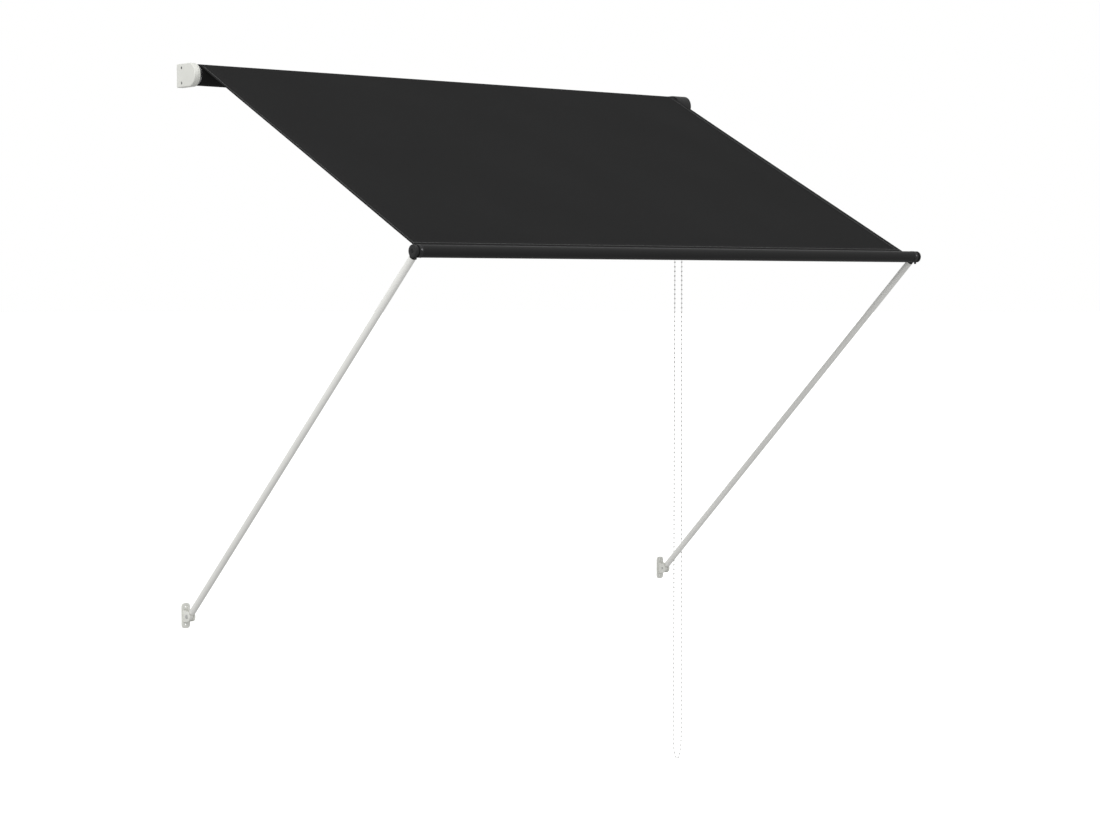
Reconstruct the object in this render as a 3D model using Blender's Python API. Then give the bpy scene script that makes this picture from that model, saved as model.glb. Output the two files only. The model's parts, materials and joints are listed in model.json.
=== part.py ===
"""Drop-arm window awning: a cloth wound on a wall-hung roller, let out by two swinging arms and a front bar.

Metres, +Z up. The wall is the plane Y = 0 and the awning stands out from it towards -Y. The origin is the
centre of the left roller bracket's wall face, at the height of the roller's axis.
"""

import math

import bmesh
import bpy
from mathutils import Matrix, Vector

# ---------------------------------------------------------------- driving dimensions (metres)
GAP = 0.0003  # kept between solids that touch
ARM_PLANE_LEFT = 0.003  # X of the left arm's centre
ARM_SPACING = 1.460  # between the two arms' centres
ROLLER_OUT = 0.052  # roller axis, measured out from the wall
PIVOT_OUT = 0.0196  # lower arm pivots, measured out from the wall
PIVOT_DROP = 1.222  # lower arm pivots, below the roller axis
ARM_LENGTH = 1.1955  # pivot to front bar axis
ARM_ANGLE = math.radians(46.75)  # of the arms from the vertical, as modelled

BAR_RADIUS = 0.01305
BAR_WALL = 0.0012
BAR_END_INSET = 0.0098  # front bar tube's end, inward from the arm's centre
BAR_SLOT = 0.0016
KEDER_RADIUS = 0.0024
KEDER_POCKET_RADIUS = 0.0027
KEDER_POCKET_WALL = 0.001

CLOTH_INSET = 0.011  # cloth's side edge, inward from the arm's centre
CLOTH_THICKNESS = 0.0008
ROLL_RADIUS = 0.02325
ROLL_CORE_RADIUS = 0.0217
ROLL_TUBE_WALL = 0.0012
ROLL_TUBE_INSET = 0.0080  # roller tube's end, inward from the arm's centre

HOUSING_DEPTH = 0.0767  # D-shaped end housings, out from the wall
HOUSING_HALF_HEIGHT = 0.02625
HOUSING_WALL = 0.002
PLATE_THICKNESS = 0.0032
LEFT_HOUSING = (-0.0075, 0.0075)  # X of its outer and inner faces
RIGHT_HOUSING = (1.5028, 1.4585)
COVER_SCREW_OUT = 0.0195  # cover screws, out from the wall
COVER_SCREW_HEIGHTS = (0.017, -0.017)
COVER_SCREW_HEAD = 0.0028  # radius of the head
COVER_SCREW_SHANK = 0.0015

PLUG_LEFT_END = 0.040  # X where the roller's left plug stops inside the tube
PLUG_LEFT_BORE_END = 0.034
IDLE_PIN_END = 0.0335
PLUG_RIGHT_END = 1.425

ARM_RADIUS = 0.0075
ARM_WALL = 0.001
ARM_TUBE_START = 0.0170  # from the pivot
ARM_TUBE_SHORT = 0.018  # tube's end, short of the front bar's axis
PIN_RADIUS = 0.003
AXLE_RADIUS = 0.0047  # fixed pins that carry the roller
STUB_RADIUS = 0.008  # front bar's end stubs, which turn in the arm heads
PLUG_SCREW_BORE = 0.0022
HEAD_NEAR = 0.0009  # arm head's ring, outward from the arm's centre
HEAD_FAR = 0.0079
HEAD_RADIUS = 0.0122
LUG_REACH = 0.0170  # small stop lug under the head, from the bar's axis to its tip
LUG_RADIUS = 0.0025
LUG_TILT = math.radians(4)
COLLAR_RADIUS = 0.0133
COLLAR_FAR = 0.0006  # front bar plug's collar ends here, outward from the arm's centre
COLLAR_SCREW_IN = 0.0042  # collar screw, inward from the arm's centre
COLLAR_SCREW_RADIUS = 0.0021
COLLAR_SCREW_SEAT = 0.0108  # from the bar's axis
COLLAR_SCREW_TILT = math.radians(12)
CAP_RADIUS = 0.0130

WALL_PLATE_WIDTH = 0.021
WALL_PLATE_HEIGHT = 0.058
WALL_PLATE_THICKNESS = 0.004
WALL_HOLE_SPACING = 0.0406
WALL_HOLE_RADIUS = 0.0026
EAR_RADIUS = 0.012
EAR_THICKNESS = 0.003
KNUCKLE_HALF_WIDTH = 0.0045
KNUCKLE_RADIUS = 0.0085

CHAIN_X = 1.4804
CHAIN_WHEEL_RADIUS = 0.013  # to the bead centres
CHAIN_BEND_STEPS = 4  # between route points at the loop's bottom
CHAIN_BEND_REACH = 0.050  # route points nearer than this are at the bottom
CHAIN_WHEEL_HALF_WIDTH = 0.0064
BEAD_RADIUS = 0.00225

# The bead chain's loop, from the front exit of the right housing, round the bottom and up to the rear exit.
CHAIN_ROUTE = [
    (1.4804, -0.0650, -0.019),
    (1.4804, -0.0650, -0.060),
    (1.4804, -0.0651, -0.180),
    (1.4804, -0.0654, -0.340),
    (1.4804, -0.0658, -0.520),
    (1.4804, -0.0663, -0.700),
    (1.4804, -0.0668, -0.880),
    (1.4804, -0.0673, -1.060),
    (1.4804, -0.0678, -1.240),
    (1.4804, -0.0684, -1.400),
    (1.4804, -0.0690, -1.530),
    (1.4804, -0.0692, -1.620),
    (1.4804, -0.0688, -1.665),
    (1.4804, -0.0668, -1.695),
    (1.4804, -0.0628, -1.716),
    (1.4804, -0.0560, -1.729),
    (1.4804, -0.0480, -1.7285),
    (1.4804, -0.0420, -1.716),
    (1.4804, -0.0392, -1.695),
    (1.4804, -0.0384, -1.665),
    (1.4804, -0.0382, -1.620),
    (1.4804, -0.0382, -1.530),
    (1.4804, -0.0383, -1.400),
    (1.4804, -0.0384, -1.240),
    (1.4804, -0.0385, -1.060),
    (1.4804, -0.0386, -0.880),
    (1.4804, -0.0387, -0.700),
    (1.4804, -0.0388, -0.520),
    (1.4804, -0.0389, -0.340),
    (1.4804, -0.0390, -0.180),
    (1.4804, -0.0390, -0.060),
    (1.4804, -0.0390, -0.019),
]

# ---------------------------------------------------------------- worked-out places
ARM_PLANE_RIGHT = ARM_PLANE_LEFT + ARM_SPACING
ROLLER_AXIS = Vector((0.0, -ROLLER_OUT, 0.0))
PIVOT = Vector((0.0, -PIVOT_OUT, -PIVOT_DROP))
ARM_DIRECTION = Vector((0.0, -math.sin(ARM_ANGLE), math.cos(ARM_ANGLE)))
BAR_AXIS = PIVOT + ARM_DIRECTION * ARM_LENGTH
SPAN = (ROLLER_AXIS - BAR_AXIS).length
CLOTH_OFFSET = ROLL_RADIUS + GAP + CLOTH_THICKNESS / 2  # cloth's middle above the roller axis
CLOTH_SLOPE = math.atan2(-BAR_AXIS.z, ROLLER_AXIS.y - BAR_AXIS.y) + math.asin(CLOTH_OFFSET / SPAN)
CLOTH_UP = Vector((0.0, math.cos(CLOTH_SLOPE), math.sin(CLOTH_SLOPE)))  # from the bar to the roller
CLOTH_NORMAL = Vector((0.0, -math.sin(CLOTH_SLOPE), math.cos(CLOTH_SLOPE)))
CLOTH_LEFT = ARM_PLANE_LEFT + CLOTH_INSET
CLOTH_RIGHT = ARM_PLANE_RIGHT - CLOTH_INSET
POCKET_OUT = BAR_RADIUS - BAR_WALL - KEDER_POCKET_RADIUS  # pocket's centre from the bar's axis
ROLL_LEFT = ARM_PLANE_LEFT + ROLL_TUBE_INSET
ROLL_RIGHT = ARM_PLANE_RIGHT - ROLL_TUBE_INSET
LUG_WAY = Vector((0.0, -math.sin(LUG_TILT), -math.cos(LUG_TILT)))
SCREW_WAY = Vector((0.0, -math.cos(COLLAR_SCREW_TILT), math.sin(COLLAR_SCREW_TILT)))

FINE = 40
ROUND = 28
SMALL = 16


# ---------------------------------------------------------------- materials and objects
def finish(name, color, roughness, metallic=0.0):
    """A Principled material."""
    mat = bpy.data.materials.new(name)
    mat.use_nodes = True
    shader = mat.node_tree.nodes["Principled BSDF"]
    shader.inputs["Base Color"].default_value = (*color, 1.0)
    shader.inputs["Roughness"].default_value = roughness
    shader.inputs["Metallic"].default_value = metallic
    mat.diffuse_color = (*color, 1.0)
    return mat


def axis_empty(name, place, parent=None):
    """An empty on a joint's axis, which the pieces of one moving body hang from."""
    empty = bpy.data.objects.new(name, None)
    empty.empty_display_size = 0.05
    empty.parent = parent
    empty.location = place - (parent.matrix_world.translation if parent else Vector())
    bpy.context.scene.collection.objects.link(empty)
    bpy.context.view_layer.update()
    return empty


def add_piece(name, bm, mat, axis=None):
    """Makes a named object from a bmesh built in world space, with its origin on its body's axis."""
    origin = axis.matrix_world.translation if axis else Vector()
    bmesh.ops.translate(bm, verts=bm.verts, vec=-origin)
    bmesh.ops.recalc_face_normals(bm, faces=bm.faces)
    mesh = bpy.data.meshes.new(name)
    bm.to_mesh(mesh)
    bm.free()
    mesh.shade_smooth()
    mesh.set_sharp_from_angle(angle=math.radians(35))
    mesh.materials.append(mat)
    obj = bpy.data.objects.new(name, mesh)
    obj.parent = axis
    bpy.context.scene.collection.objects.link(obj)
    return obj


def combine(obj, bm, operation, name):
    """Joins a shape to obj, or cuts it away, with a hidden helper object."""
    origin = obj.parent.matrix_world.translation if obj.parent else Vector()
    bmesh.ops.translate(bm, verts=bm.verts, vec=-origin)
    bmesh.ops.recalc_face_normals(bm, faces=bm.faces)
    mesh = bpy.data.meshes.new(name)
    bm.to_mesh(mesh)
    bm.free()
    helper = bpy.data.objects.new(name, mesh)
    helper.parent = obj.parent
    helper.hide_render = True
    helper.display_type = "WIRE"
    bpy.context.scene.collection.objects.link(helper)
    modifier = obj.modifiers.new(name, "BOOLEAN")
    modifier.operation = operation
    modifier.object = helper
    return helper


# ---------------------------------------------------------------- shapes
def along_x(centre):
    """Local X stays along world X, through centre."""
    return Matrix.Translation(centre)


def along(direction, start):
    """Local X turns to direction, from start."""
    turn = Vector((1.0, 0.0, 0.0)).rotation_difference(direction).to_matrix().to_4x4()
    return Matrix.Translation(start) @ turn


def turned(profile, frame, segments):
    """A solid of revolution about local X. profile is a closed outline of (x, radius) points."""
    bm = bmesh.new()
    rings = []
    for x, radius in profile:
        if radius == 0.0:
            rings.append([bm.verts.new(frame @ Vector((x, 0.0, 0.0)))])
            continue
        ring = []
        for step in range(segments):
            turn = 2 * math.pi * step / segments
            point = Vector((x, radius * math.cos(turn), radius * math.sin(turn)))
            ring.append(bm.verts.new(frame @ point))
        rings.append(ring)
    for index, ring in enumerate(rings):
        other = rings[(index + 1) % len(rings)]
        if len(ring) == 1 and len(other) == 1:
            continue
        for step in range(segments):
            following = (step + 1) % segments
            corners = [ring[step % len(ring)], ring[following % len(ring)]]
            corners += [other[following % len(other)], other[step % len(other)]]
            bm.faces.new(list(dict.fromkeys(corners)))
    return bm


def rod(x0, x1, radius, frame, segments=SMALL, chamfer=0.0):
    """A round rod about local X, from x0 to x1, with chamfered ends."""
    if chamfer == 0.0:
        return turned([(x0, 0.0), (x0, radius), (x1, radius), (x1, 0.0)], frame, segments)
    profile = [(x0, 0.0), (x0, radius - chamfer), (x0 + chamfer, radius)]
    profile += [(x1 - chamfer, radius), (x1, radius - chamfer), (x1, 0.0)]
    return turned(profile, frame, segments)


def pipe(x0, x1, outer, inner, frame, segments=ROUND):
    """A round tube about local X."""
    return turned([(x0, inner), (x0, outer), (x1, outer), (x1, inner)], frame, segments)


def extruded(outlines, depth_axis, start, end):
    """A section pushed along a world axis. The first outline is the outside and any others are holes.

    Points are (Y, Z) for a push along X, and (X, Z) for a push along Y.
    """
    bm = bmesh.new()
    edges = []
    along_first = depth_axis == "X"
    for outline in outlines:
        places = [(start, a, b) if along_first else (a, start, b) for a, b in outline]
        ring = [bm.verts.new(place) for place in places]
        edges += [bm.edges.new(pair) for pair in zip(ring, ring[1:] + ring[:1], strict=True)]
    filled = bmesh.ops.triangle_fill(bm, edges=edges, use_beauty=True)
    faces = [item for item in filled["geom"] if isinstance(item, bmesh.types.BMFace)]
    pushed = bmesh.ops.extrude_face_region(bm, geom=faces)
    moved = [item for item in pushed["geom"] if isinstance(item, bmesh.types.BMVert)]
    push = (end - start, 0.0, 0.0) if along_first else (0.0, end - start, 0.0)
    bmesh.ops.translate(bm, verts=moved, vec=push)
    return bm


def arc(centre, radius, start, end, steps):
    """Points on an arc, angles in radians from the first axis towards the second."""
    points = []
    for step in range(steps + 1):
        turn = start + (end - start) * step / steps
        points.append((centre[0] + radius * math.cos(turn), centre[1] + radius * math.sin(turn)))
    return points


def box(low, high):
    """A rectangular block."""
    outline = [(low[1], low[2]), (high[1], low[2]), (high[1], high[2]), (low[1], high[2])]
    return extruded([outline], "X", low[0], high[0])


def housing_outline(inset, back):
    """The end housing's D: straight at the wall, a half round in front."""
    radius = HOUSING_HALF_HEIGHT - inset
    centre = (-(HOUSING_DEPTH - HOUSING_HALF_HEIGHT), 0.0)
    return arc(centre, radius, math.pi / 2, math.pi * 3 / 2, 24) + [(back, -radius), (back, radius)]


def circle(centre, radius, steps=SMALL):
    """Points on a full circle."""
    return arc(centre, radius, 0.0, 2 * math.pi, steps)[:-1]


def rounded_rectangle(width, height, radius, steps):
    """A rectangle about the origin with round corners."""
    points = []
    for corner, (sx, sz) in enumerate(((1, 1), (-1, 1), (-1, -1), (1, -1))):
        centre = (sx * (width / 2 - radius), sz * (height / 2 - radius))
        start = corner * math.pi / 2
        points += arc(centre, radius, start, start + math.pi / 2, steps)
    return points


def shifted(outline, first, second):
    """The outline moved by two amounts."""
    return [(a + first, b + second) for a, b in outline]


# ---------------------------------------------------------------- roller brackets and their housings
def roller_bracket(name, mat, outer, inner, bore):
    """A D-shaped side plate with a flange that lies on the wall, inside the cover."""
    side = 1 if inner > outer else -1
    outlines = [housing_outline(0.0, 0.0), circle((-ROLLER_OUT, 0.0), bore, ROUND)]
    obj = add_piece(name, extruded(outlines, "X", inner - side * PLATE_THICKNESS, inner), mat)
    reach = outer + side * (HOUSING_WALL + GAP)
    half = HOUSING_HALF_HEIGHT - HOUSING_WALL - GAP
    low_x, high_x = sorted((reach, inner - side * PLATE_THICKNESS / 2))
    flange = box((low_x, -PLATE_THICKNESS, -half), (high_x, 0.0, half))
    combine(obj, flange, "UNION", name + "_flange")
    return obj


def housing_cover(name, mat, outer, inner, screw_x):
    """A D-shaped shell over the bracket, open to the plate and to the wall, with two screw holes."""
    side = 1 if inner > outer else -1
    edge = inner - side * (PLATE_THICKNESS + GAP)
    shell = extruded([housing_outline(0.0, 0.0)], "X", outer, edge)
    bmesh.ops.recalc_face_normals(shell, faces=shell.faces)
    rim = [e for e in shell.edges if all(abs(v.co.x - outer) < 1e-6 for v in e.verts)]
    rim = [e for e in rim if len(e.link_faces) == 2 and e.calc_face_angle() > 1.0]
    rim = [e for e in rim if any(v.co.y < -0.001 for v in e.verts)]
    bmesh.ops.bevel(shell, geom=rim, offset=0.0012, segments=2, profile=0.5, affect="EDGES")
    obj = add_piece(name, shell, mat)
    hollow_outline = housing_outline(HOUSING_WALL, 0.01)
    hollow = extruded([hollow_outline], "X", outer + side * HOUSING_WALL, edge + side * 0.01)
    combine(obj, hollow, "DIFFERENCE", name + "_hollow")
    for index, height in enumerate(COVER_SCREW_HEIGHTS):
        place = Vector((0.0, -COVER_SCREW_OUT, height))
        hole = rod(screw_x - 0.004, screw_x + 0.004, COVER_SCREW_HEAD + GAP, along_x(place))
        combine(obj, hole, "DIFFERENCE", f"{name}_screw_hole_{index}")
    return obj


def cover_screws(side_name, mat, outer, side, shank_end):
    """The two screws of one cover, sunk a little below its face."""
    head = outer + side * 0.0005
    neck = outer + side * (HOUSING_WALL + 0.0004)
    profile = [(head, 0.0), (head, COVER_SCREW_HEAD), (neck, COVER_SCREW_HEAD)]
    profile += [(neck, COVER_SCREW_SHANK), (shank_end, COVER_SCREW_SHANK), (shank_end, 0.0)]
    for place_name, height in zip(("upper", "lower"), COVER_SCREW_HEIGHTS, strict=True):
        place = Vector((0.0, -COVER_SCREW_OUT, height))
        add_piece(f"cover_screw_{side_name}_{place_name}", turned(profile, along_x(place), SMALL), mat)


def left_end(white, steel):
    """The plain end: plate, cover, screws and the fixed pin that the roller turns on."""
    outer, inner = LEFT_HOUSING
    roller_bracket("roller_bracket_left", white, outer, inner, AXLE_RADIUS + GAP)
    housing_cover("bracket_cover_left", white, outer, inner, outer)
    plate_back = inner - PLATE_THICKNESS - GAP
    cover_screws("left", steel, outer, 1, plate_back - GAP)
    profile = [(plate_back - 0.003, 0.0), (plate_back - 0.003, 0.009), (plate_back, 0.009)]
    profile += [(plate_back, AXLE_RADIUS), (IDLE_PIN_END, AXLE_RADIUS), (IDLE_PIN_END, 0.0)]
    add_piece("idle_pin_left", turned(profile, along_x(ROLLER_AXIS), SMALL), steel)


def right_end(black, steel):
    """The drive end: plate, chain cover with an open underside, screws and the fixed hub."""
    outer, inner = RIGHT_HOUSING
    roller_bracket("roller_bracket_right", black, outer, inner, STUB_RADIUS + 0.0005)
    cover = housing_cover("chain_cover_right", black, outer, inner, outer)
    low = (CHAIN_X - 0.005, -ROLLER_OUT - 0.020, -HOUSING_HALF_HEIGHT - 0.01)
    high = (CHAIN_X + 0.005, -ROLLER_OUT + 0.020, -0.010)
    combine(cover, box(low, high), "DIFFERENCE", "chain_slot")
    cover_screws("right", steel, outer, -1, inner + PLATE_THICKNESS + 2 * GAP)
    wall = outer - HOUSING_WALL - GAP
    profile = [(wall, 0.0), (wall, 0.010), (wall - 0.003, 0.010)]
    profile += [(wall - 0.003, AXLE_RADIUS), (inner + 0.0015, AXLE_RADIUS), (inner + 0.0015, 0.0)]
    add_piece("clutch_hub_right", turned(profile, along_x(ROLLER_AXIS), SMALL), steel)


# ---------------------------------------------------------------- roller
def roller(cloth, aluminium, black, axis):
    """Tube, end plugs, chain wheel and the cloth wound on the tube."""
    frame = along_x(ROLLER_AXIS)
    bore = ROLL_CORE_RADIUS - ROLL_TUBE_WALL
    tube = pipe(ROLL_LEFT, ROLL_RIGHT, ROLL_CORE_RADIUS, bore, frame, FINE)
    add_piece("roller_tube", tube, aluminium, axis)
    wound = pipe(CLOTH_LEFT, CLOTH_RIGHT, ROLL_RADIUS, ROLL_CORE_RADIUS + GAP, frame, FINE)
    add_piece("cloth_roll", wound, cloth, axis)
    body = bore - GAP
    hole = AXLE_RADIUS + GAP
    start = LEFT_HOUSING[1] + 0.0007
    lip = ROLL_LEFT - GAP
    profile = [(start, hole), (start, ROLL_CORE_RADIUS), (lip, ROLL_CORE_RADIUS), (lip, body)]
    profile += [(PLUG_LEFT_END, body), (PLUG_LEFT_END, 0.0)]
    profile += [(PLUG_LEFT_BORE_END, 0.0), (PLUG_LEFT_BORE_END, hole)]
    add_piece("roller_plug_left", turned(profile, frame, ROUND), black, axis)
    start = RIGHT_HOUSING[1] - 0.0007
    lip = ROLL_RIGHT + GAP
    end = CHAIN_X + 0.0066
    blind = RIGHT_HOUSING[1] + 0.0010
    profile = [(PLUG_RIGHT_END, 0.0), (PLUG_RIGHT_END, body), (lip, body), (lip, ROLL_CORE_RADIUS)]
    profile += [(start, ROLL_CORE_RADIUS), (start, STUB_RADIUS), (end, STUB_RADIUS)]
    profile += [(end, hole), (blind, hole), (blind, 0.0)]
    add_piece("roller_plug_right", turned(profile, frame, ROUND), black, axis)
    rim = CHAIN_WHEEL_RADIUS + 0.002
    floor = CHAIN_WHEEL_RADIUS - BEAD_RADIUS - GAP
    inside = STUB_RADIUS + GAP
    half = CHAIN_WHEEL_HALF_WIDTH
    profile = [(-half, inside), (-half, rim), (-0.0040, rim), (-0.0015, floor)]
    profile += [(0.0015, floor), (0.0040, rim), (half, rim), (half, inside)]
    profile = [(CHAIN_X + x, radius) for x, radius in profile]
    add_piece("chain_wheel_right", turned(profile, frame, ROUND), black, axis)


# ---------------------------------------------------------------- arms
def wall_bracket(name, mat, centre_x):
    """A plate with two screw holes and a pair of ears that hold the arm's knuckle."""
    outline = rounded_rectangle(WALL_PLATE_WIDTH, WALL_PLATE_HEIGHT, 0.008, 5)
    outlines = [shifted(outline, centre_x, PIVOT.z)]
    for side in (-1, 1):
        outlines.append(circle((centre_x, PIVOT.z + side * WALL_HOLE_SPACING / 2), WALL_HOLE_RADIUS))
    obj = add_piece(name, extruded(outlines, "Y", -WALL_PLATE_THICKNESS, 0.0), mat)
    root = -WALL_PLATE_THICKNESS + 0.001
    centre = (PIVOT.y, PIVOT.z)
    ear = [(root, PIVOT.z + EAR_RADIUS + 0.002)]
    ear += arc(centre, EAR_RADIUS, math.pi / 2, math.pi * 3 / 2, 12)
    ear += [(root, PIVOT.z - EAR_RADIUS - 0.002)]
    outlines = [ear, circle(centre, PIN_RADIUS + GAP)]
    for index, side in enumerate((-1, 1)):
        near = centre_x + side * (KNUCKLE_HALF_WIDTH + 0.0005)
        plate = extruded(outlines, "X", near, near + side * EAR_THICKNESS)
        combine(obj, plate, "UNION", f"{name}_ear_{index}")
    return obj


def pivot_pin(name, mat, centre_x, side):
    """A headed pin through the ears. side is the way that its head faces."""
    ears = KNUCKLE_HALF_WIDTH + 0.0005 + EAR_THICKNESS
    head = ears + GAP
    profile = [(-ears - 0.0012, 0.0), (-ears - 0.0012, PIN_RADIUS - 0.0005)]
    profile += [(-ears - 0.0007, PIN_RADIUS), (head, PIN_RADIUS), (head, PIN_RADIUS + 0.0015)]
    profile += [(head + 0.0012, PIN_RADIUS + 0.0015), (head + 0.0018, PIN_RADIUS + 0.0005)]
    profile += [(head + 0.0018, 0.0)]
    profile = [(centre_x + side * x, radius) for x, radius in profile]
    add_piece(name, turned(profile, along_x(PIVOT), SMALL), mat)


def arm(side_name, outward, white, black, axis):
    """One arm: knuckle, tube and the head that holds the front bar's end. outward is -1 or 1 along X."""
    plane = ARM_PLANE_LEFT if outward < 0 else ARM_PLANE_RIGHT
    foot = PIVOT + Vector((plane, 0.0, 0.0))
    line = along(ARM_DIRECTION, foot)
    inside = ARM_RADIUS - ARM_WALL - GAP
    tube_end = ARM_LENGTH - ARM_TUBE_SHORT
    tube = pipe(ARM_TUBE_START, tube_end, ARM_RADIUS, ARM_RADIUS - ARM_WALL, line, ROUND)
    add_piece(f"arm_tube_{side_name}", tube, white, axis)
    near = plane - KNUCKLE_HALF_WIDTH
    far = plane + KNUCKLE_HALF_WIDTH
    knuckle = rod(near, far, KNUCKLE_RADIUS, along_x(PIVOT), ROUND, 0.0006)
    obj = add_piece(f"arm_foot_{side_name}", knuckle, white, axis)
    shoulder = ARM_TUBE_START - GAP
    neck = KNUCKLE_HALF_WIDTH - 0.0002
    clear = EAR_RADIUS + 0.0010
    profile = [(0.0045, 0.0), (0.0045, neck), (clear, neck), (clear + 0.0015, ARM_RADIUS)]
    profile += [(shoulder, ARM_RADIUS), (shoulder, inside), (0.045, inside), (0.045, 0.0)]
    combine(obj, turned(profile, line, ROUND), "UNION", f"foot_stem_{side_name}")
    bore = rod(plane - 0.02, plane + 0.02, PIN_RADIUS + GAP, along_x(PIVOT))
    combine(obj, bore, "DIFFERENCE", f"foot_bore_{side_name}")

    ring_near = plane + outward * HEAD_NEAR
    ring_far = plane + outward * HEAD_FAR
    low_x, high_x = sorted((ring_near, ring_far))
    head = pipe(low_x, high_x, HEAD_RADIUS, STUB_RADIUS + GAP, along_x(BAR_AXIS), FINE)
    obj = add_piece(f"arm_head_{side_name}", head, black, axis)
    lug_x = (ring_near + ring_far) / 2
    lug_frame = along(LUG_WAY, BAR_AXIS + Vector((lug_x, 0.0, 0.0)))
    lug = rod(0.0095, LUG_REACH, LUG_RADIUS, lug_frame, 14, 0.0006)
    combine(obj, lug, "UNION", f"head_lug_{side_name}")
    neck = box((low_x + 0.0003, -0.005, 0.0), (high_x - 0.0003, 0.005, 0.0075))
    neck.transform(Matrix.Rotation(ARM_ANGLE, 4, "X"))
    neck.transform(Matrix.Translation(BAR_AXIS - ARM_DIRECTION * (0.0170)))
    combine(obj, neck, "UNION", f"head_neck_{side_name}")
    far = ARM_LENGTH - 0.0144
    start = tube_end + GAP
    profile = [(tube_end - 0.030, 0.0), (tube_end - 0.030, inside), (start, inside)]
    profile += [(start, ARM_RADIUS), (far, ARM_RADIUS), (far, 0.0)]
    combine(obj, turned(profile, line, ROUND), "UNION", f"head_plug_{side_name}")


# ---------------------------------------------------------------- front bar
def front_bar(cloth, anthracite, black, steel, axis):
    """The bar's tube with its pocket for the cloth's edge cord, its end plugs, caps and screws."""
    left = ARM_PLANE_LEFT + BAR_END_INSET
    right = ARM_PLANE_RIGHT - BAR_END_INSET
    pocket = BAR_AXIS + CLOTH_UP * POCKET_OUT
    slot_turn = math.asin(BAR_SLOT / 2 / BAR_RADIUS)
    mouth_turn = math.asin(BAR_SLOT / 2 / KEDER_POCKET_RADIUS)
    centre = (BAR_AXIS.y, BAR_AXIS.z)
    once_round = CLOTH_SLOPE + 2 * math.pi
    outline = arc(centre, BAR_RADIUS, CLOTH_SLOPE + slot_turn, once_round - slot_turn, FINE)
    outline += arc(
        (pocket.y, pocket.z),
        KEDER_POCKET_RADIUS,
        once_round - mouth_turn,
        CLOTH_SLOPE + mouth_turn,
        16,
    )
    inner = BAR_RADIUS - BAR_WALL
    shell = KEDER_POCKET_RADIUS + KEDER_POCKET_WALL
    # Where the pocket's outside meets the tube's inside, as an angle at each centre.
    at_bar = math.acos((POCKET_OUT**2 + inner**2 - shell**2) / (2 * POCKET_OUT * inner))
    at_pocket = math.acos((POCKET_OUT**2 + shell**2 - inner**2) / (2 * POCKET_OUT * shell))
    hollow = arc(centre, inner, CLOTH_SLOPE + at_bar, once_round - at_bar, FINE)
    hollow += arc(
        (pocket.y, pocket.z),
        shell,
        CLOTH_SLOPE + math.pi + at_pocket,
        CLOTH_SLOPE + math.pi - at_pocket,
        12,
    )[1:-1]
    add_piece("front_bar_tube", extruded([outline, hollow], "X", left, right), anthracite, axis)
    keder = rod(CLOTH_LEFT, CLOTH_RIGHT, KEDER_RADIUS, along_x(pocket), SMALL)
    add_piece("cloth_edge_cord", keder, cloth, axis)

    spigot = POCKET_OUT - shell - GAP
    for side_name, outward in (("left", -1), ("right", 1)):
        plane = ARM_PLANE_LEFT if outward < 0 else ARM_PLANE_RIGHT
        flange_near = -BAR_END_INSET + GAP
        stub_end = HEAD_FAR + 0.0002
        profile = [(-0.040, 0.0), (-0.040, spigot), (flange_near, spigot)]
        profile += [(flange_near, COLLAR_RADIUS - 0.0006), (flange_near + 0.0006, COLLAR_RADIUS)]
        profile += [(COLLAR_FAR - 0.0006, COLLAR_RADIUS), (COLLAR_FAR, COLLAR_RADIUS - 0.0006)]
        profile += [(COLLAR_FAR, STUB_RADIUS), (stub_end, STUB_RADIUS), (stub_end, PLUG_SCREW_BORE)]
        profile += [(-0.006, PLUG_SCREW_BORE), (-0.006, 0.0)]
        profile = [(plane + outward * x, radius) for x, radius in profile]
        obj = add_piece(f"bar_end_plug_{side_name}", turned(profile, along_x(BAR_AXIS), FINE), black, axis)
        screw_place = BAR_AXIS + Vector((plane - outward * COLLAR_SCREW_IN, 0.0, 0.0))
        screw_line = along(SCREW_WAY, screw_place)
        recess = rod(COLLAR_SCREW_SEAT, 0.02, COLLAR_SCREW_RADIUS + GAP, screw_line)
        combine(obj, recess, "DIFFERENCE", f"collar_recess_{side_name}")
        screw = rod(COLLAR_SCREW_SEAT + GAP, COLLAR_RADIUS + 0.0005, COLLAR_SCREW_RADIUS, screw_line)
        add_piece(f"collar_screw_{side_name}", screw, steel, axis)

        near = stub_end + GAP
        far = near + 0.0031
        profile = [(near, 0.0030), (near, CAP_RADIUS), (far - 0.0008, CAP_RADIUS)]
        profile += [(far, CAP_RADIUS - 0.0008), (far, 0.0045)]
        profile += [(far - 0.0012, 0.0042), (far - 0.0012, 0.0030)]
        profile = [(plane + outward * x, radius) for x, radius in profile]
        add_piece(f"bar_end_cap_{side_name}", turned(profile, along_x(BAR_AXIS), FINE), black, axis)
        seat = far - 0.0012 + GAP
        profile = [(seat, 0.0017), (seat, 0.0037), (seat + 0.0008, 0.0037), (seat + 0.0014, 0.0024)]
        profile += [(seat + 0.0014, 0.0), (-0.005, 0.0), (-0.005, 0.0017)]
        profile = [(plane + outward * x, radius) for x, radius in profile]
        add_piece(f"cap_screw_{side_name}", turned(profile, along_x(BAR_AXIS), SMALL), steel, axis)


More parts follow.
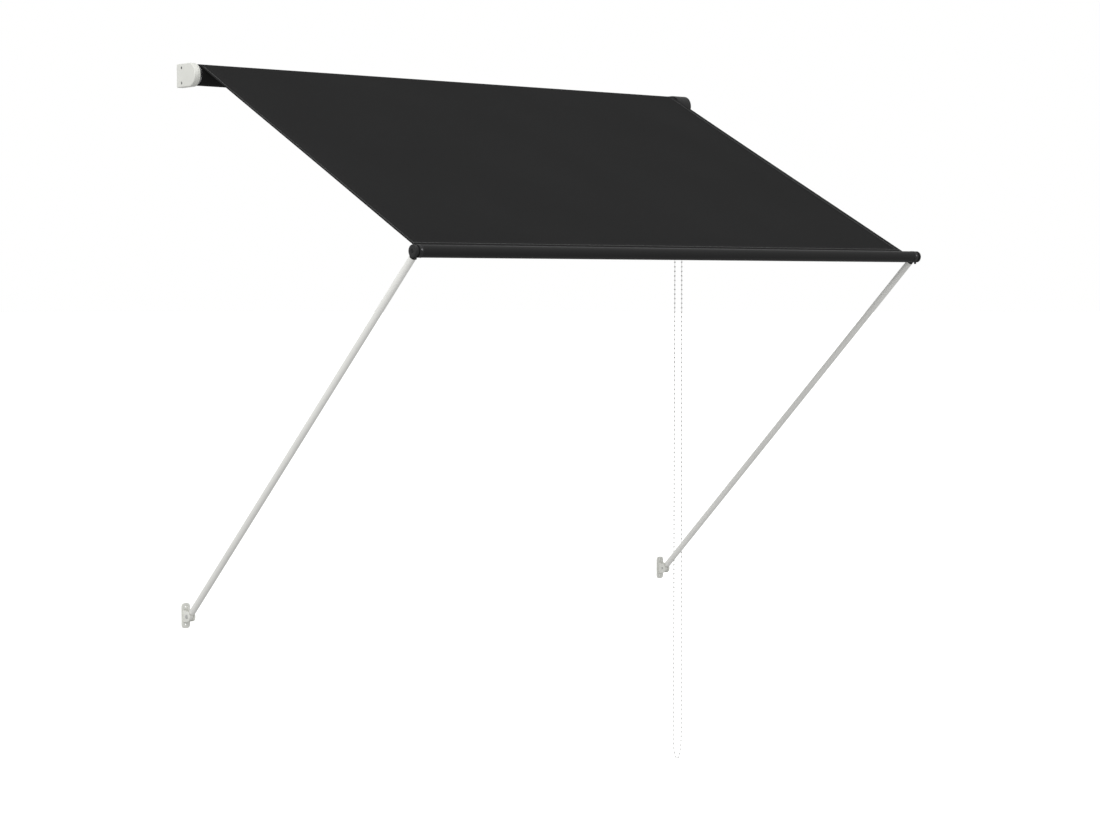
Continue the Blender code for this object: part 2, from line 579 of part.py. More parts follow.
# ---------------------------------------------------------------- cloth and chain
def canopy(cloth, axis):
    """The stretched cloth between the roll and the front bar, as one thin solid."""
    lower = BAR_AXIS + CLOTH_UP * (POCKET_OUT + KEDER_RADIUS + GAP)
    upper = BAR_AXIS + CLOTH_UP * math.sqrt(SPAN**2 - CLOTH_OFFSET**2)
    half = CLOTH_NORMAL * (CLOTH_THICKNESS / 2)
    outline = [lower - half, upper - half, upper + half, lower + half]
    panel = extruded([[(p.y, p.z) for p in outline]], "X", CLOTH_LEFT, CLOTH_RIGHT)
    add_piece("canopy_cloth", panel, cloth, axis)


def smooth_route(points):
    """Points on a Catmull-Rom curve through points, closer together where the points are close."""
    points = [Vector(p) for p in points]
    padded = [2 * points[0] - points[1], *points, 2 * points[-1] - points[-2]]
    places = []
    for a, b, c, d in zip(padded, padded[1:], padded[2:], padded[3:], strict=False):
        steps = CHAIN_BEND_STEPS if (c - b).length < CHAIN_BEND_REACH else 1
        for step in range(steps):
            t = step / steps
            place = 2 * b + (c - a) * t + (2 * a - 5 * b + 4 * c - d) * t**2
            place += (3 * b - a - 3 * c + d) * t**3
            places.append(place / 2)
    return [*places, points[-1]]


def bead_chain(mat):
    """The endless bead chain below the right housing, as a plain tube of the beads' diameter."""
    curve = bpy.data.curves.new("bead_chain", "CURVE")
    curve.dimensions = "3D"
    curve.bevel_depth = BEAD_RADIUS
    curve.bevel_resolution = 2
    curve.use_fill_caps = True
    places = smooth_route(CHAIN_ROUTE)
    spline = curve.splines.new("POLY")
    spline.points.add(len(places) - 1)
    for point, place in zip(spline.points, places, strict=True):
        point.co = (*place, 1.0)
    curve.materials.append(mat)
    obj = bpy.data.objects.new("bead_chain", curve)
    bpy.context.scene.collection.objects.link(obj)


# ---------------------------------------------------------------- the awning
def build():
    for obj in list(bpy.data.objects):
        bpy.data.objects.remove(obj)
    white = finish("powder_coat_white", (0.72, 0.71, 0.67), 0.45)
    arm_white = finish("arm_lacquer", (0.68, 0.67, 0.63), 0.4)
    cloth = finish("anthracite_cloth", (0.026, 0.026, 0.027), 0.9)
    anthracite = finish("anthracite_lacquer", (0.03, 0.03, 0.032), 0.45)
    black = finish("black_plastic", (0.02, 0.02, 0.021), 0.5)
    aluminium = finish("roller_aluminium", (0.6, 0.6, 0.61), 0.35, 1.0)
    steel = finish("screw_steel", (0.35, 0.35, 0.36), 0.35, 1.0)
    chain = finish("chain_plastic", (0.8, 0.8, 0.78), 0.4)

    left_arm_axis = axis_empty("left_arm_axis", PIVOT + Vector((ARM_PLANE_LEFT, 0.0, 0.0)))
    right_arm_axis = axis_empty("right_arm_axis", PIVOT + Vector((ARM_PLANE_RIGHT, 0.0, 0.0)))
    bar_axis = axis_empty("front_bar_axis", BAR_AXIS + Vector((ARM_PLANE_LEFT, 0.0, 0.0)), left_arm_axis)
    cloth_axis = axis_empty("canopy_slide", BAR_AXIS + Vector((ARM_PLANE_LEFT, 0.0, 0.0)), bar_axis)
    roller_axis = axis_empty("roller_axis", ROLLER_AXIS)

    left_end(white, steel)
    right_end(black, steel)
    roller(cloth, aluminium, black, roller_axis)
    for side_name, plane, outward, axis in (
        ("left", ARM_PLANE_LEFT, -1, left_arm_axis),
        ("right", ARM_PLANE_RIGHT, 1, right_arm_axis),
    ):
        wall_bracket(f"arm_bracket_{side_name}", white, plane)
        pivot_pin(f"arm_pivot_pin_{side_name}", steel, plane, outward)
        arm(side_name, outward, arm_white, black, axis)
    front_bar(cloth, anthracite, black, steel, bar_axis)
    canopy(cloth, cloth_axis)
    bead_chain(chain)


build()
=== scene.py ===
"""Drop-arm window awning: the finish of every piece, built around the awning's own frame.

Metres, +Z up. The wall is the plane Y = 0 and the awning stands out from it towards -Y.
"""

import bpy
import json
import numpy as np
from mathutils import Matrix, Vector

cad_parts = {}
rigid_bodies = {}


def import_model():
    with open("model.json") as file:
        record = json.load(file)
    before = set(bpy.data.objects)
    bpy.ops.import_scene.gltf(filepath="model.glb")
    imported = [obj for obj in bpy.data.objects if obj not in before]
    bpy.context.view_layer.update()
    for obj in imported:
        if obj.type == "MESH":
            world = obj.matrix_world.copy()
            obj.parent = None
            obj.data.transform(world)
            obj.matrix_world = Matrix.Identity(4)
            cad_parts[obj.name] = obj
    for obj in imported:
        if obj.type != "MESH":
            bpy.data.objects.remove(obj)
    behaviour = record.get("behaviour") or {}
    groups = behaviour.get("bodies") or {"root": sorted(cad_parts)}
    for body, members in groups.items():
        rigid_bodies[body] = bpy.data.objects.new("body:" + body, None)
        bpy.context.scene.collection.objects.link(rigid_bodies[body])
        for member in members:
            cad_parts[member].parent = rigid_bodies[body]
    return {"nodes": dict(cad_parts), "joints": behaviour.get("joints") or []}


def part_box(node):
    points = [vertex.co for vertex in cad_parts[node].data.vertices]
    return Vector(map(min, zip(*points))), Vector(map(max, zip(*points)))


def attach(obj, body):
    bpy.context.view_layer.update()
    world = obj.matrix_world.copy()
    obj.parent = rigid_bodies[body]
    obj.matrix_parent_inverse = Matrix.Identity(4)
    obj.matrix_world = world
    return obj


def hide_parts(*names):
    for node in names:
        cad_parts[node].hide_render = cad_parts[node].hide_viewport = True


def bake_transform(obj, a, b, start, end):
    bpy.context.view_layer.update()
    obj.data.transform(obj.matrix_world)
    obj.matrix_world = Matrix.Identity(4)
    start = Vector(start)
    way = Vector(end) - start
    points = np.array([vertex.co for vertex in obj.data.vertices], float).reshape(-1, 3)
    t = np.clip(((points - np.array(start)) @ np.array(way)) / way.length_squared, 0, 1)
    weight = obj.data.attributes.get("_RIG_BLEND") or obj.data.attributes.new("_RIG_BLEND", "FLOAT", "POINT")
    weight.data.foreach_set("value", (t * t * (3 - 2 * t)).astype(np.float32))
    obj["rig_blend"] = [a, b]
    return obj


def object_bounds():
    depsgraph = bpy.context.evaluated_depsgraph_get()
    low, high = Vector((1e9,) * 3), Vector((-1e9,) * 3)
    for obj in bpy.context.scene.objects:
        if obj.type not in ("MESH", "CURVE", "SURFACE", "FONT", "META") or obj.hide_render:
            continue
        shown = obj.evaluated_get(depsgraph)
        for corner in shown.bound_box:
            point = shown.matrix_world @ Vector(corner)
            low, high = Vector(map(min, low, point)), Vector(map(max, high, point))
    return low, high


for leftover in list(bpy.data.objects):
    bpy.data.objects.remove(leftover)
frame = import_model()
CAD_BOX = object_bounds()

import json
import math

import bmesh
from bpy.props import FloatProperty, FloatVectorProperty, IntProperty, PointerProperty
from mathutils import Euler, Matrix, Vector

bl_info = {
    "name": "Drop-arm window awning",
    "version": (1, 0, 0),
    "blender": (4, 5, 0),
    "location": "View3D > Sidebar > Awning",
    "description": "Builds the cloth, bar, arms, end housings and bead chain of a window awning",
    "category": "Add Mesh",
}

# ---------------------------------------------------------------- places, from the frame
JOINTS = {joint["name"]: joint for joint in frame["joints"]}
ROLLER_AXIS = Vector((0.0, *JOINTS["roller_turn"]["pos_m"][1:]))
BAR_AXIS = Vector((0.0, *JOINTS["front_bar_turn"]["pos_m"][1:]))
PIVOT = Vector((0.0, *JOINTS["left_arm_pivot"]["pos_m"][1:]))
ARM_X = {side: JOINTS[f"{side}_arm_pivot"]["pos_m"][0] for side in ("left", "right")}
OUTWARD = {"left": -1, "right": 1}
ARM_WAY = (BAR_AXIS - PIVOT).normalized()
ARM_LENGTH = (BAR_AXIS - PIVOT).length
CLOTH_UP = Vector(JOINTS["canopy_slide"]["axis"]).normalized()  # up the cloth, from the bar to the roller
CLOTH_NORMAL = Vector((0.0, -CLOTH_UP.z, CLOTH_UP.y))
CLOTH_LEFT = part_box("canopy_cloth")[0].x
CLOTH_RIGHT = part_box("canopy_cloth")[1].x
CLOTH_OFFSET = (BAR_AXIS - ROLLER_AXIS).dot(CLOTH_NORMAL)  # cloth's middle above the roller's axis
ROLL_START = (ROLLER_AXIS - BAR_AXIS).dot(CLOTH_UP)  # where the cloth meets the roll, from the bar's axis

GAP = 0.0003
PIN_RADIUS = 0.003
BAR_RADIUS = 0.01305
BAR_WALL = 0.0012
POCKET_RADIUS = 0.0027
POCKET_WALL = 0.001
ARM_RADIUS = 0.0075
ARM_WALL = 0.001
STUB_RADIUS = 0.008
HEAD_RADIUS = 0.0113
COLLAR_RADIUS = 0.0133
CAP_RADIUS = 0.0130
LUG_RADIUS = 0.0025
LUG_REACH = 0.0170
EAR_RADIUS = 0.012
KNUCKLE_RADIUS = 0.0085
HOLE_RADIUS = 0.0022
HOLE_SPACING = 0.0406
PLATE_THICKNESS = 0.004
EAR_THICKNESS = 0.003
EAR_CLEARANCE = 0.0005
KNUCKLE_HALF_WIDTH = 0.0045
HOUSING_HALF_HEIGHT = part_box("bracket_cover_left")[1].z
HOUSING_DEPTH = -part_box("bracket_cover_left")[0].y
HOUSING_WALL = 0.002
PAST_EDGE = 0.01  # how far a cut runs on beyond the solid that it opens
CHAIN_SLOT_HALF_WIDTH = 0.005
CHAIN_SLOT_REACH = 0.020
CHAIN_SLOT_TOP = -0.010
CHAIN_X = 1.4804

# The bead chain's loop, from the front exit of the right housing, round the bottom and up to the rear exit.
CHAIN_ROUTE = [
    (CHAIN_X, -0.0650, -0.019),
    (CHAIN_X, -0.0650, -0.060),
    (CHAIN_X, -0.0651, -0.180),
    (CHAIN_X, -0.0654, -0.340),
    (CHAIN_X, -0.0658, -0.520),
    (CHAIN_X, -0.0663, -0.700),
    (CHAIN_X, -0.0668, -0.880),
    (CHAIN_X, -0.0673, -1.060),
    (CHAIN_X, -0.0678, -1.240),
    (CHAIN_X, -0.0684, -1.400),
    (CHAIN_X, -0.0690, -1.530),
    (CHAIN_X, -0.0692, -1.620),
    (CHAIN_X, -0.0688, -1.665),
    (CHAIN_X, -0.0668, -1.695),
    (CHAIN_X, -0.0628, -1.716),
    (CHAIN_X, -0.0560, -1.729),
    (CHAIN_X, -0.0480, -1.7285),
    (CHAIN_X, -0.0420, -1.716),
    (CHAIN_X, -0.0392, -1.695),
    (CHAIN_X, -0.0384, -1.665),
    (CHAIN_X, -0.0382, -1.620),
    (CHAIN_X, -0.0382, -1.530),
    (CHAIN_X, -0.0383, -1.400),
    (CHAIN_X, -0.0384, -1.240),
    (CHAIN_X, -0.0385, -1.060),
    (CHAIN_X, -0.0386, -0.880),
    (CHAIN_X, -0.0387, -0.700),
    (CHAIN_X, -0.0388, -0.520),
    (CHAIN_X, -0.0389, -0.340),
    (CHAIN_X, -0.0390, -0.180),
    (CHAIN_X, -0.0390, -0.060),
    (CHAIN_X, -0.0390, -0.019),
]


# ---------------------------------------------------------------- settings
class AwningClothSettings(bpy.types.PropertyGroup):
    """Sizes and colours of the cloth."""

    color: FloatVectorProperty(
        name="Cloth colour", description="Colour of the threads", subtype="COLOR", size=3,
        default=(0.0157, 0.0158, 0.0159), min=0.0, max=1.0,
    )
    thickness: FloatProperty(
        name="Thickness", description="Thickness of one layer", default=0.0004, unit="LENGTH",
    )
    thread_pitch: FloatProperty(
        name="Thread pitch", description="Distance from thread to thread", default=0.00055, unit="LENGTH",
    )
    hem_width: FloatProperty(
        name="Hem width", description="Width of the folded side hems", default=0.0150, unit="LENGTH",
    )
    left_stitch_inset: FloatProperty(
        name="Left stitches", description="Hem stitches' distance from the left edge", default=0.0062,
        unit="LENGTH",
    )
    right_stitch_inset: FloatProperty(
        name="Right stitches", description="Hem stitches' distance from the right edge", default=0.0134,
        unit="LENGTH",
    )
    bar_seam: FloatProperty(
        name="Bar seam", description="Seam's distance from the bar's axis", default=0.0385, unit="LENGTH",
    )
    stitch_pitch: FloatProperty(
        name="Stitch pitch", description="Distance from stitch to stitch", default=0.0036, unit="LENGTH",
    )
    sag: FloatProperty(
        name="Sag", description="Dip of the cloth halfway down", default=0.0030, unit="LENGTH",
    )


class AwningFrameSettings(bpy.types.PropertyGroup):
    """Colours and edges of the frame's pieces."""

    white: FloatVectorProperty(
        name="Housing colour", description="Powder coat of the left housing and wall brackets",
        subtype="COLOR", size=3, default=(0.74, 0.745, 0.70), min=0.0, max=1.0,
    )
    arm: FloatVectorProperty(
        name="Arm colour", description="Lacquer of the two arms", subtype="COLOR", size=3,
        default=(0.80, 0.80, 0.77), min=0.0, max=1.0,
    )
    bar: FloatVectorProperty(
        name="Bar colour", description="Lacquer of the front bar", subtype="COLOR", size=3,
        default=(0.0135, 0.0136, 0.0138), min=0.0, max=1.0,
    )
    plastic: FloatVectorProperty(
        name="Plastic colour", description="Moulded end fittings and the drive's housing", subtype="COLOR",
        size=3, default=(0.0110, 0.0111, 0.0114), min=0.0, max=1.0,
    )
    edge: FloatProperty(
        name="Edge radius", description="Softening of cast and moulded edges", default=0.0005, unit="LENGTH",
    )
    segments: IntProperty(name="Round segments", description="Sides of round pieces", default=72, min=24)


class AwningChainSettings(bpy.types.PropertyGroup):
    """Sizes of the bead chain."""

    bead: FloatProperty(name="Bead", description="Diameter of a bead", default=0.0045, unit="LENGTH")
    pitch: FloatProperty(name="Bead pitch", description="Bead to bead", default=0.012, unit="LENGTH")
    string: FloatProperty(name="String", description="Diameter of the string", default=0.0012, unit="LENGTH")


class AwningStageSettings(bpy.types.PropertyGroup):
    """The studio that the awning is shown in."""

    lens: FloatProperty(name="Lens", description="Focal length in millimetres", default=77.94)
    floor_drop: FloatProperty(
        name="Floor", description="Floor's depth below the chain", default=0.55, unit="LENGTH",
    )
    key: FloatProperty(name="Key light", description="Strength of the large left light", default=90.0)
    fill: FloatProperty(name="Sky", description="Strength of the light from all round", default=1.0)


# ---------------------------------------------------------------- materials
class Wiring:
    """A Principled material, with short calls that wire its nodes."""

    def __init__(self, name, roughness, metallic=0.0):
        self.material = bpy.data.materials.new(name)
        self.material.use_nodes = True
        self.nodes = self.material.node_tree.nodes
        self.links = self.material.node_tree.links
        self.shader = self.nodes["Principled BSDF"]
        self.shader.inputs["Roughness"].default_value = roughness
        self.shader.inputs["Metallic"].default_value = metallic

    def put(self, socket, value):
        """Links a socket to another, or sets it to a value."""
        if isinstance(value, bpy.types.NodeSocket):
            self.links.new(value, socket)
        else:
            socket.default_value = value

    def add(self, kind, inputs=None, **settings):
        """A node with its settings and inputs, which are keyed by name or number."""
        node = self.nodes.new(kind)
        for key, value in settings.items():
            setattr(node, key, value)
        for key, value in (inputs or {}).items():
            self.put(node.inputs[key], value)
        return node

    def place(self):
        """Places in the awning's own frame, in metres."""
        return self.add("ShaderNodeTexCoord").outputs["Object"]

    def stretched(self, vector, scale, turn=(0.0, 0.0, 0.0)):
        """Places turned, then stretched, for streaks along one way."""
        inputs = {"Vector": vector, "Rotation": turn}
        turned_places = self.add("ShaderNodeMapping", inputs).outputs[0]
        return self.add("ShaderNodeMapping", {"Vector": turned_places, "Scale": scale}).outputs[0]

    def noise(self, vector, scale, detail=3.0, roughness=0.5):
        inputs = {"Vector": vector, "Scale": scale, "Detail": detail, "Roughness": roughness}
        return self.add("ShaderNodeTexNoise", inputs).outputs[0]

    def math(self, operation, a, b=0.0):
        return self.add("ShaderNodeMath", {0: a, 1: b}, operation=operation).outputs[0]

    def spread(self, value, low, high, start=0.0, end=1.0):
        """A value's range from start to end, moved to low to high."""
        inputs = {"Value": value, "From Min": start, "From Max": end, "To Min": low, "To Max": high}
        return self.add("ShaderNodeMapRange", inputs).outputs[0]

    def shades(self, share, dark, light):
        """A colour between dark and light."""
        node = self.add("ShaderNodeMix", {0: share}, data_type="RGBA")
        node.inputs[6].default_value = (*dark, 1.0)
        node.inputs[7].default_value = (*light, 1.0)
        return node.outputs[2]

    def color(self, output):
        self.links.new(output, self.shader.inputs["Base Color"])

    def roughness(self, output):
        self.links.new(output, self.shader.inputs["Roughness"])

    def bump(self, height, distance, strength=1.0):
        inputs = {"Height": height, "Distance": distance, "Strength": strength}
        self.links.new(self.add("ShaderNodeBump", inputs).outputs[0], self.shader.inputs["Normal"])


def tinted(color, amount):
    """A colour made lighter or darker by a factor."""
    return tuple(min(1.0, channel * amount) for channel in color)


def powder_coat():
    """Satin powder coat: a fine orange-peel skin and a faint cloudiness."""
    color = bpy.context.scene.awning_frame.white
    wire = Wiring("powder_coat", 0.42)
    place = wire.place()
    cloud = wire.noise(place, 28.0, 4.0)
    fleck = wire.noise(place, 900.0, 2.0)
    share = wire.math("ADD", wire.math("MULTIPLY", cloud, 0.7), wire.math("MULTIPLY", fleck, 0.3))
    wire.color(wire.shades(wire.spread(share, 0.0, 1.0, 0.3, 0.7), tinted(color, 0.955), tinted(color, 1.03)))
    wire.roughness(wire.spread(cloud, 0.38, 0.50, 0.3, 0.7))
    wire.bump(wire.noise(place, 700.0, 3.0, 0.6), 0.00010, 0.35)
    return wire.material


def arm_paint():
    """Smooth lacquer over drawn tube: long faint draw lines and a little dust in the gloss."""
    color = bpy.context.scene.awning_frame.arm
    wire = Wiring("arm_paint", 0.38)
    place = wire.place()
    tilt = math.atan2(-ARM_WAY.y, ARM_WAY.z)
    lines = wire.noise(wire.stretched(place, (900.0, 900.0, 6.0), (-tilt, 0.0, 0.0)), 1.0, 3.0)
    cloud = wire.noise(place, 14.0, 4.0)
    share = wire.math("ADD", wire.math("MULTIPLY", cloud, 0.65), wire.math("MULTIPLY", lines, 0.35))
    wire.color(wire.shades(wire.spread(share, 0.0, 1.0, 0.3, 0.7), tinted(color, 0.95), tinted(color, 1.03)))
    wire.roughness(wire.spread(lines, 0.32, 0.46, 0.3, 0.7))
    wire.bump(lines, 0.00003, 0.4)
    return wire.material


def bar_lacquer():
    """Dark satin lacquer on the front bar, drawn lengthwise."""
    color = bpy.context.scene.awning_frame.bar
    wire = Wiring("bar_lacquer", 0.50)
    wire.shader.inputs["Specular IOR Level"].default_value = 0.15
    place = wire.place()
    lines = wire.noise(wire.stretched(place, (5.0, 1100.0, 1100.0)), 1.0, 3.0)
    fleck = wire.noise(place, 1600.0, 2.0)
    share = wire.math("ADD", wire.math("MULTIPLY", lines, 0.5), wire.math("MULTIPLY", fleck, 0.5))
    wire.color(wire.shades(wire.spread(share, 0.0, 1.0, 0.3, 0.7), tinted(color, 0.82), tinted(color, 1.18)))
    wire.roughness(wire.spread(lines, 0.40, 0.54, 0.3, 0.7))
    wire.bump(wire.noise(place, 1300.0, 2.0), 0.00004, 0.4)
    return wire.material


def moulded_black():
    """Black moulding with a fine spark-eroded grain, painted greyer where the grain stands up as a highlight
    and darker in its hollows as shade.
    """
    color = bpy.context.scene.awning_frame.plastic
    wire = Wiring("moulded_black", 0.48)
    wire.shader.inputs["Specular IOR Level"].default_value = 0.32
    place = wire.place()
    grain_height_and_painted_light = wire.noise(place, 2600.0, 2.0, 0.6)
    flow = wire.noise(place, 60.0, 3.0)
    # Half of the colour follows the grain's height: painted highlight on its raised points and painted shade
    # in its hollows; the flow half is the moulding's real tone.
    share = wire.math("ADD", wire.math("MULTIPLY", grain_height_and_painted_light, 0.5), wire.math("MULTIPLY", flow, 0.5))
    share = wire.spread(share, 0.0, 1.0, 0.32, 0.68)
    wire.color(wire.shades(share, tinted(color, 0.75), tinted(color, 1.35)))
    wire.roughness(wire.spread(flow, 0.42, 0.58, 0.3, 0.7))
    wire.bump(grain_height_and_painted_light, 0.00005, 0.5)
    return wire.material


def mill_aluminium():
    """The roller tube's bare aluminium, drawn lengthwise."""
    wire = Wiring("mill_aluminium", 0.35, 1.0)
    place = wire.place()
    lines = wire.noise(wire.stretched(place, (8.0, 1500.0, 1500.0)), 1.0, 3.0)
    wire.color(wire.shades(wire.spread(lines, 0.0, 1.0, 0.3, 0.7), (0.52, 0.52, 0.53), (0.68, 0.68, 0.69)))
    wire.roughness(wire.spread(lines, 0.28, 0.44, 0.3, 0.7))
    wire.bump(lines, 0.00002, 0.4)
    return wire.material


def dull_steel(name="dull_steel", dark=(0.20, 0.20, 0.21), light=(0.34, 0.34, 0.35)):
    """Zinc-plated steel: crystal mottling and fine turning marks."""
    wire = Wiring(name, 0.38, 1.0)
    place = wire.place()
    mottle = wire.add("ShaderNodeTexVoronoi", {"Vector": place, "Scale": 1400.0}).outputs["Distance"]
    cloud = wire.noise(place, 320.0, 3.0)
    share = wire.math("ADD", wire.math("MULTIPLY", mottle, 0.5), wire.math("MULTIPLY", cloud, 0.5))
    wire.color(wire.shades(wire.spread(share, 0.0, 1.0, 0.2, 0.7), dark, light))
    wire.roughness(wire.spread(cloud, 0.32, 0.50, 0.3, 0.7))
    wire.bump(wire.noise(place, 2200.0, 2.0), 0.00002, 0.4)
    return wire.material


def bright_zinc():
    """Bright zinc plating of the hinge pins."""
    return dull_steel("bright_zinc", (0.50, 0.50, 0.50), (0.68, 0.68, 0.67))


def awning_cloth():
    """Plain-woven spun-dyed cloth: threads over and under, slubs along each thread, and a soft nap. The
    weave's low places are painted darker as shade.
    """
    settings = bpy.context.scene.awning_cloth
    color = settings.color
    wire = Wiring("awning_cloth", 0.86)
    wire.shader.inputs["Sheen Weight"].default_value = 0.02
    wire.shader.inputs["Sheen Roughness"].default_value = 0.45
    wire.shader.inputs["Specular IOR Level"].default_value = 0.02
    place = wire.add("ShaderNodeUVMap", uv_map="cloth").outputs[0]
    parts = wire.add("ShaderNodeSeparateXYZ", {0: place}).outputs
    turns = 2 * math.pi / (2 * settings.thread_pitch)
    warp = wire.math("SINE", wire.math("MULTIPLY", parts[0], turns))
    weft = wire.math("SINE", wire.math("MULTIPLY", parts[1], turns))
    over = wire.spread(wire.math("MULTIPLY", warp, weft), 0.0, 1.0, -1.0, 1.0)
    across = wire.noise(wire.stretched(place, (40.0, 1800.0, 1.0)), 1.0, 3.0)
    down = wire.noise(wire.stretched(place, (1800.0, 30.0, 1.0)), 1.0, 3.0)
    slubs = wire.math("MULTIPLY", wire.math("ADD", across, down), 0.5)
    cloud = wire.noise(place, 3.5, 3.0)
    # Colour follows the weave's height: the threads' crowns lighter and the low places between them darker as
    # painted shade; slubs and cloud are the cloth's real tone.
    share = wire.math("ADD", wire.math("MULTIPLY", slubs, 0.55), wire.math("MULTIPLY", over, 0.25))
    share = wire.math("ADD", share, wire.math("MULTIPLY", cloud, 0.20))
    share = wire.spread(share, 0.0, 1.0, 0.25, 0.75)
    wire.color(wire.shades(share, tinted(color, 0.72), tinted(color, 1.28)))
    wire.roughness(wire.spread(slubs, 0.80, 0.94, 0.3, 0.7))
    height = wire.math("ADD", over, wire.math("MULTIPLY", slubs, 0.8))
    wire.bump(height, 0.00007, 0.45)
    return wire.material


def seam_thread():
    """Twisted polyester thread, a shade lighter than the cloth."""
    wire = Wiring("seam_thread", 0.6)
    wire.shader.inputs["Sheen Weight"].default_value = 0.2
    place = wire.place()
    twist = wire.add("ShaderNodeTexWave", {"Vector": place, "Scale": 520.0, "Distortion": 1.5}).outputs["Fac"]
    fibre = wire.noise(place, 4000.0, 2.0)
    share = wire.math("ADD", wire.math("MULTIPLY", twist, 0.6), wire.math("MULTIPLY", fibre, 0.4))
    wire.color(wire.shades(share, (0.042, 0.042, 0.043), (0.105, 0.105, 0.108)))
    wire.bump(twist, 0.00006, 0.6)
    return wire.material


def bead_plastic():
    """Moulded white beads, slightly milky, with a patchy rougher skin."""
    wire = Wiring("bead_plastic", 0.34)
    wire.shader.inputs["Coat Weight"].default_value = 0.15
    place = wire.place()
    cloud = wire.noise(place, 160.0, 3.0)
    wire.color(wire.shades(wire.spread(cloud, 0.0, 1.0, 0.3, 0.7), (0.70, 0.70, 0.69), (0.80, 0.80, 0.79)))
    wire.roughness(wire.spread(wire.noise(place, 900.0, 2.0), 0.26, 0.44, 0.3, 0.7))
    wire.bump(wire.noise(place, 1800.0, 2.0), 0.00003, 0.3)
    return wire.material


MAKERS = {
    "powder_coat": powder_coat,
    "arm_paint": arm_paint,
    "bar_lacquer": bar_lacquer,
    "moulded_black": moulded_black,
    "mill_aluminium": mill_aluminium,
    "dull_steel": dull_steel,
    "bright_zinc": bright_zinc,
    "awning_cloth": awning_cloth,
    "seam_thread": seam_thread,
    "bead_plastic": bead_plastic,
}


def finish_named(name):
    """A material by name, made the first time that it is asked for."""
    return bpy.data.materials.get(name) or MAKERS[name]()


# ---------------------------------------------------------------- shapes
def shift(centre):
    """Local X stays along world X, through centre."""
    return Matrix.Translation(centre)


def along(direction, start):
    """Local X turns to direction, from start."""
    turn = Vector((1.0, 0.0, 0.0)).rotation_difference(direction).to_matrix().to_4x4()
    return Matrix.Translation(start) @ turn


def rounded(profile, radius, steps=4, keep=()):
    """The closed profile with its corners turned on a radius. keep lists corners that stay sharp."""
    points = []
    count = len(profile)
    for index, corner in enumerate(profile):
        here = Vector(corner)
        before = Vector(profile[index - 1]) - here
        after = Vector(profile[(index + 1) % count]) - here
        reach = min(radius, before.length * 0.45, after.length * 0.45)
        on_axis = here.y == 0.0
        straight = abs(before.normalized().dot(after.normalized())) > 0.99
        if on_axis or index in keep or reach < 1e-6 or straight:
            points.append((here.x, here.y))
            continue
        start = here + before.normalized() * reach
        end = here + after.normalized() * reach
        for step in range(steps + 1):
            t = step / steps
            place = start * (1 - t) ** 2 + here * 2 * t * (1 - t) + end * t**2
            points.append((place.x, place.y))
    return points


def turned(profile, place, segments):
    """A solid of revolution about local X. profile is a closed outline of (x, radius) points."""
    bm = bmesh.new()
    rings = []
    for x, radius in profile:
        if radius == 0.0:
            rings.append([bm.verts.new(place @ Vector((x, 0.0, 0.0)))])
            continue
        ring = []
        for step in range(segments):
            turn = 2 * math.pi * step / segments
            point = Vector((x, radius * math.cos(turn), radius * math.sin(turn)))
            ring.append(bm.verts.new(place @ point))
        rings.append(ring)
    for index, ring in enumerate(rings):
        other = rings[(index + 1) % len(rings)]
        if len(ring) == 1 and len(other) == 1:
            continue
        for step in range(segments):
            following = (step + 1) % segments
            corners = [ring[step % len(ring)], ring[following % len(ring)]]
            corners += [other[following % len(other)], other[step % len(other)]]
            bm.faces.new(list(dict.fromkeys(corners)))
    bmesh.ops.recalc_face_normals(bm, faces=bm.faces)
    return bm


def arc(centre, radius, start, end, steps):
    """Points on an arc, angles in radians from the first axis towards the second."""
    points = []
    for step in range(steps + 1):
        turn = start + (end - start) * step / steps
        points.append((centre[0] + radius * math.cos(turn), centre[1] + radius * math.sin(turn)))
    return points


def circle(centre, radius, steps=32):
    """Points on a full circle."""
    return arc(centre, radius, 0.0, 2 * math.pi, steps)[:-1]


def extruded(outlines, depth_axis, start, end):
    """A section pushed along a world axis. The first outline is the outside and any others are holes."""
    bm = bmesh.new()
    edges = []
    along_first = depth_axis == "X"
    for outline in outlines:
        places = [(start, a, b) if along_first else (a, start, b) for a, b in outline]
        ring = [bm.verts.new(place) for place in places]
        edges += [bm.edges.new(pair) for pair in zip(ring, ring[1:] + ring[:1], strict=True)]
    filled = bmesh.ops.triangle_fill(bm, edges=edges, use_beauty=True)
    faces = [item for item in filled["geom"] if isinstance(item, bmesh.types.BMFace)]
    pushed = bmesh.ops.extrude_face_region(bm, geom=faces)
    moved = [item for item in pushed["geom"] if isinstance(item, bmesh.types.BMVert)]
    push = (end - start, 0.0, 0.0) if along_first else (0.0, end - start, 0.0)
    bmesh.ops.translate(bm, verts=moved, vec=push)
    bmesh.ops.recalc_face_normals(bm, faces=bm.faces)
    return bm


def box(low, high):
    """A rectangular block."""
    outline = [(low[1], low[2]), (high[1], low[2]), (high[1], high[2]), (low[1], high[2])]
    return extruded([outline], "X", low[0], high[0])


def lofted(loops):
    """A skin over loops of equal count, with its two ends closed."""
    bm = bmesh.new()
    rings = [[bm.verts.new(point) for point in loop] for loop in loops]
    for ring, other in zip(rings, rings[1:], strict=False):
        for step in range(len(ring)):
            following = (step + 1) % len(ring)
            bm.faces.new((ring[step], ring[following], other[following], other[step]))
    bm.faces.new(rings[0])
    bm.faces.new(rings[-1])
    bmesh.ops.recalc_face_normals(bm, faces=bm.faces)
    return bm


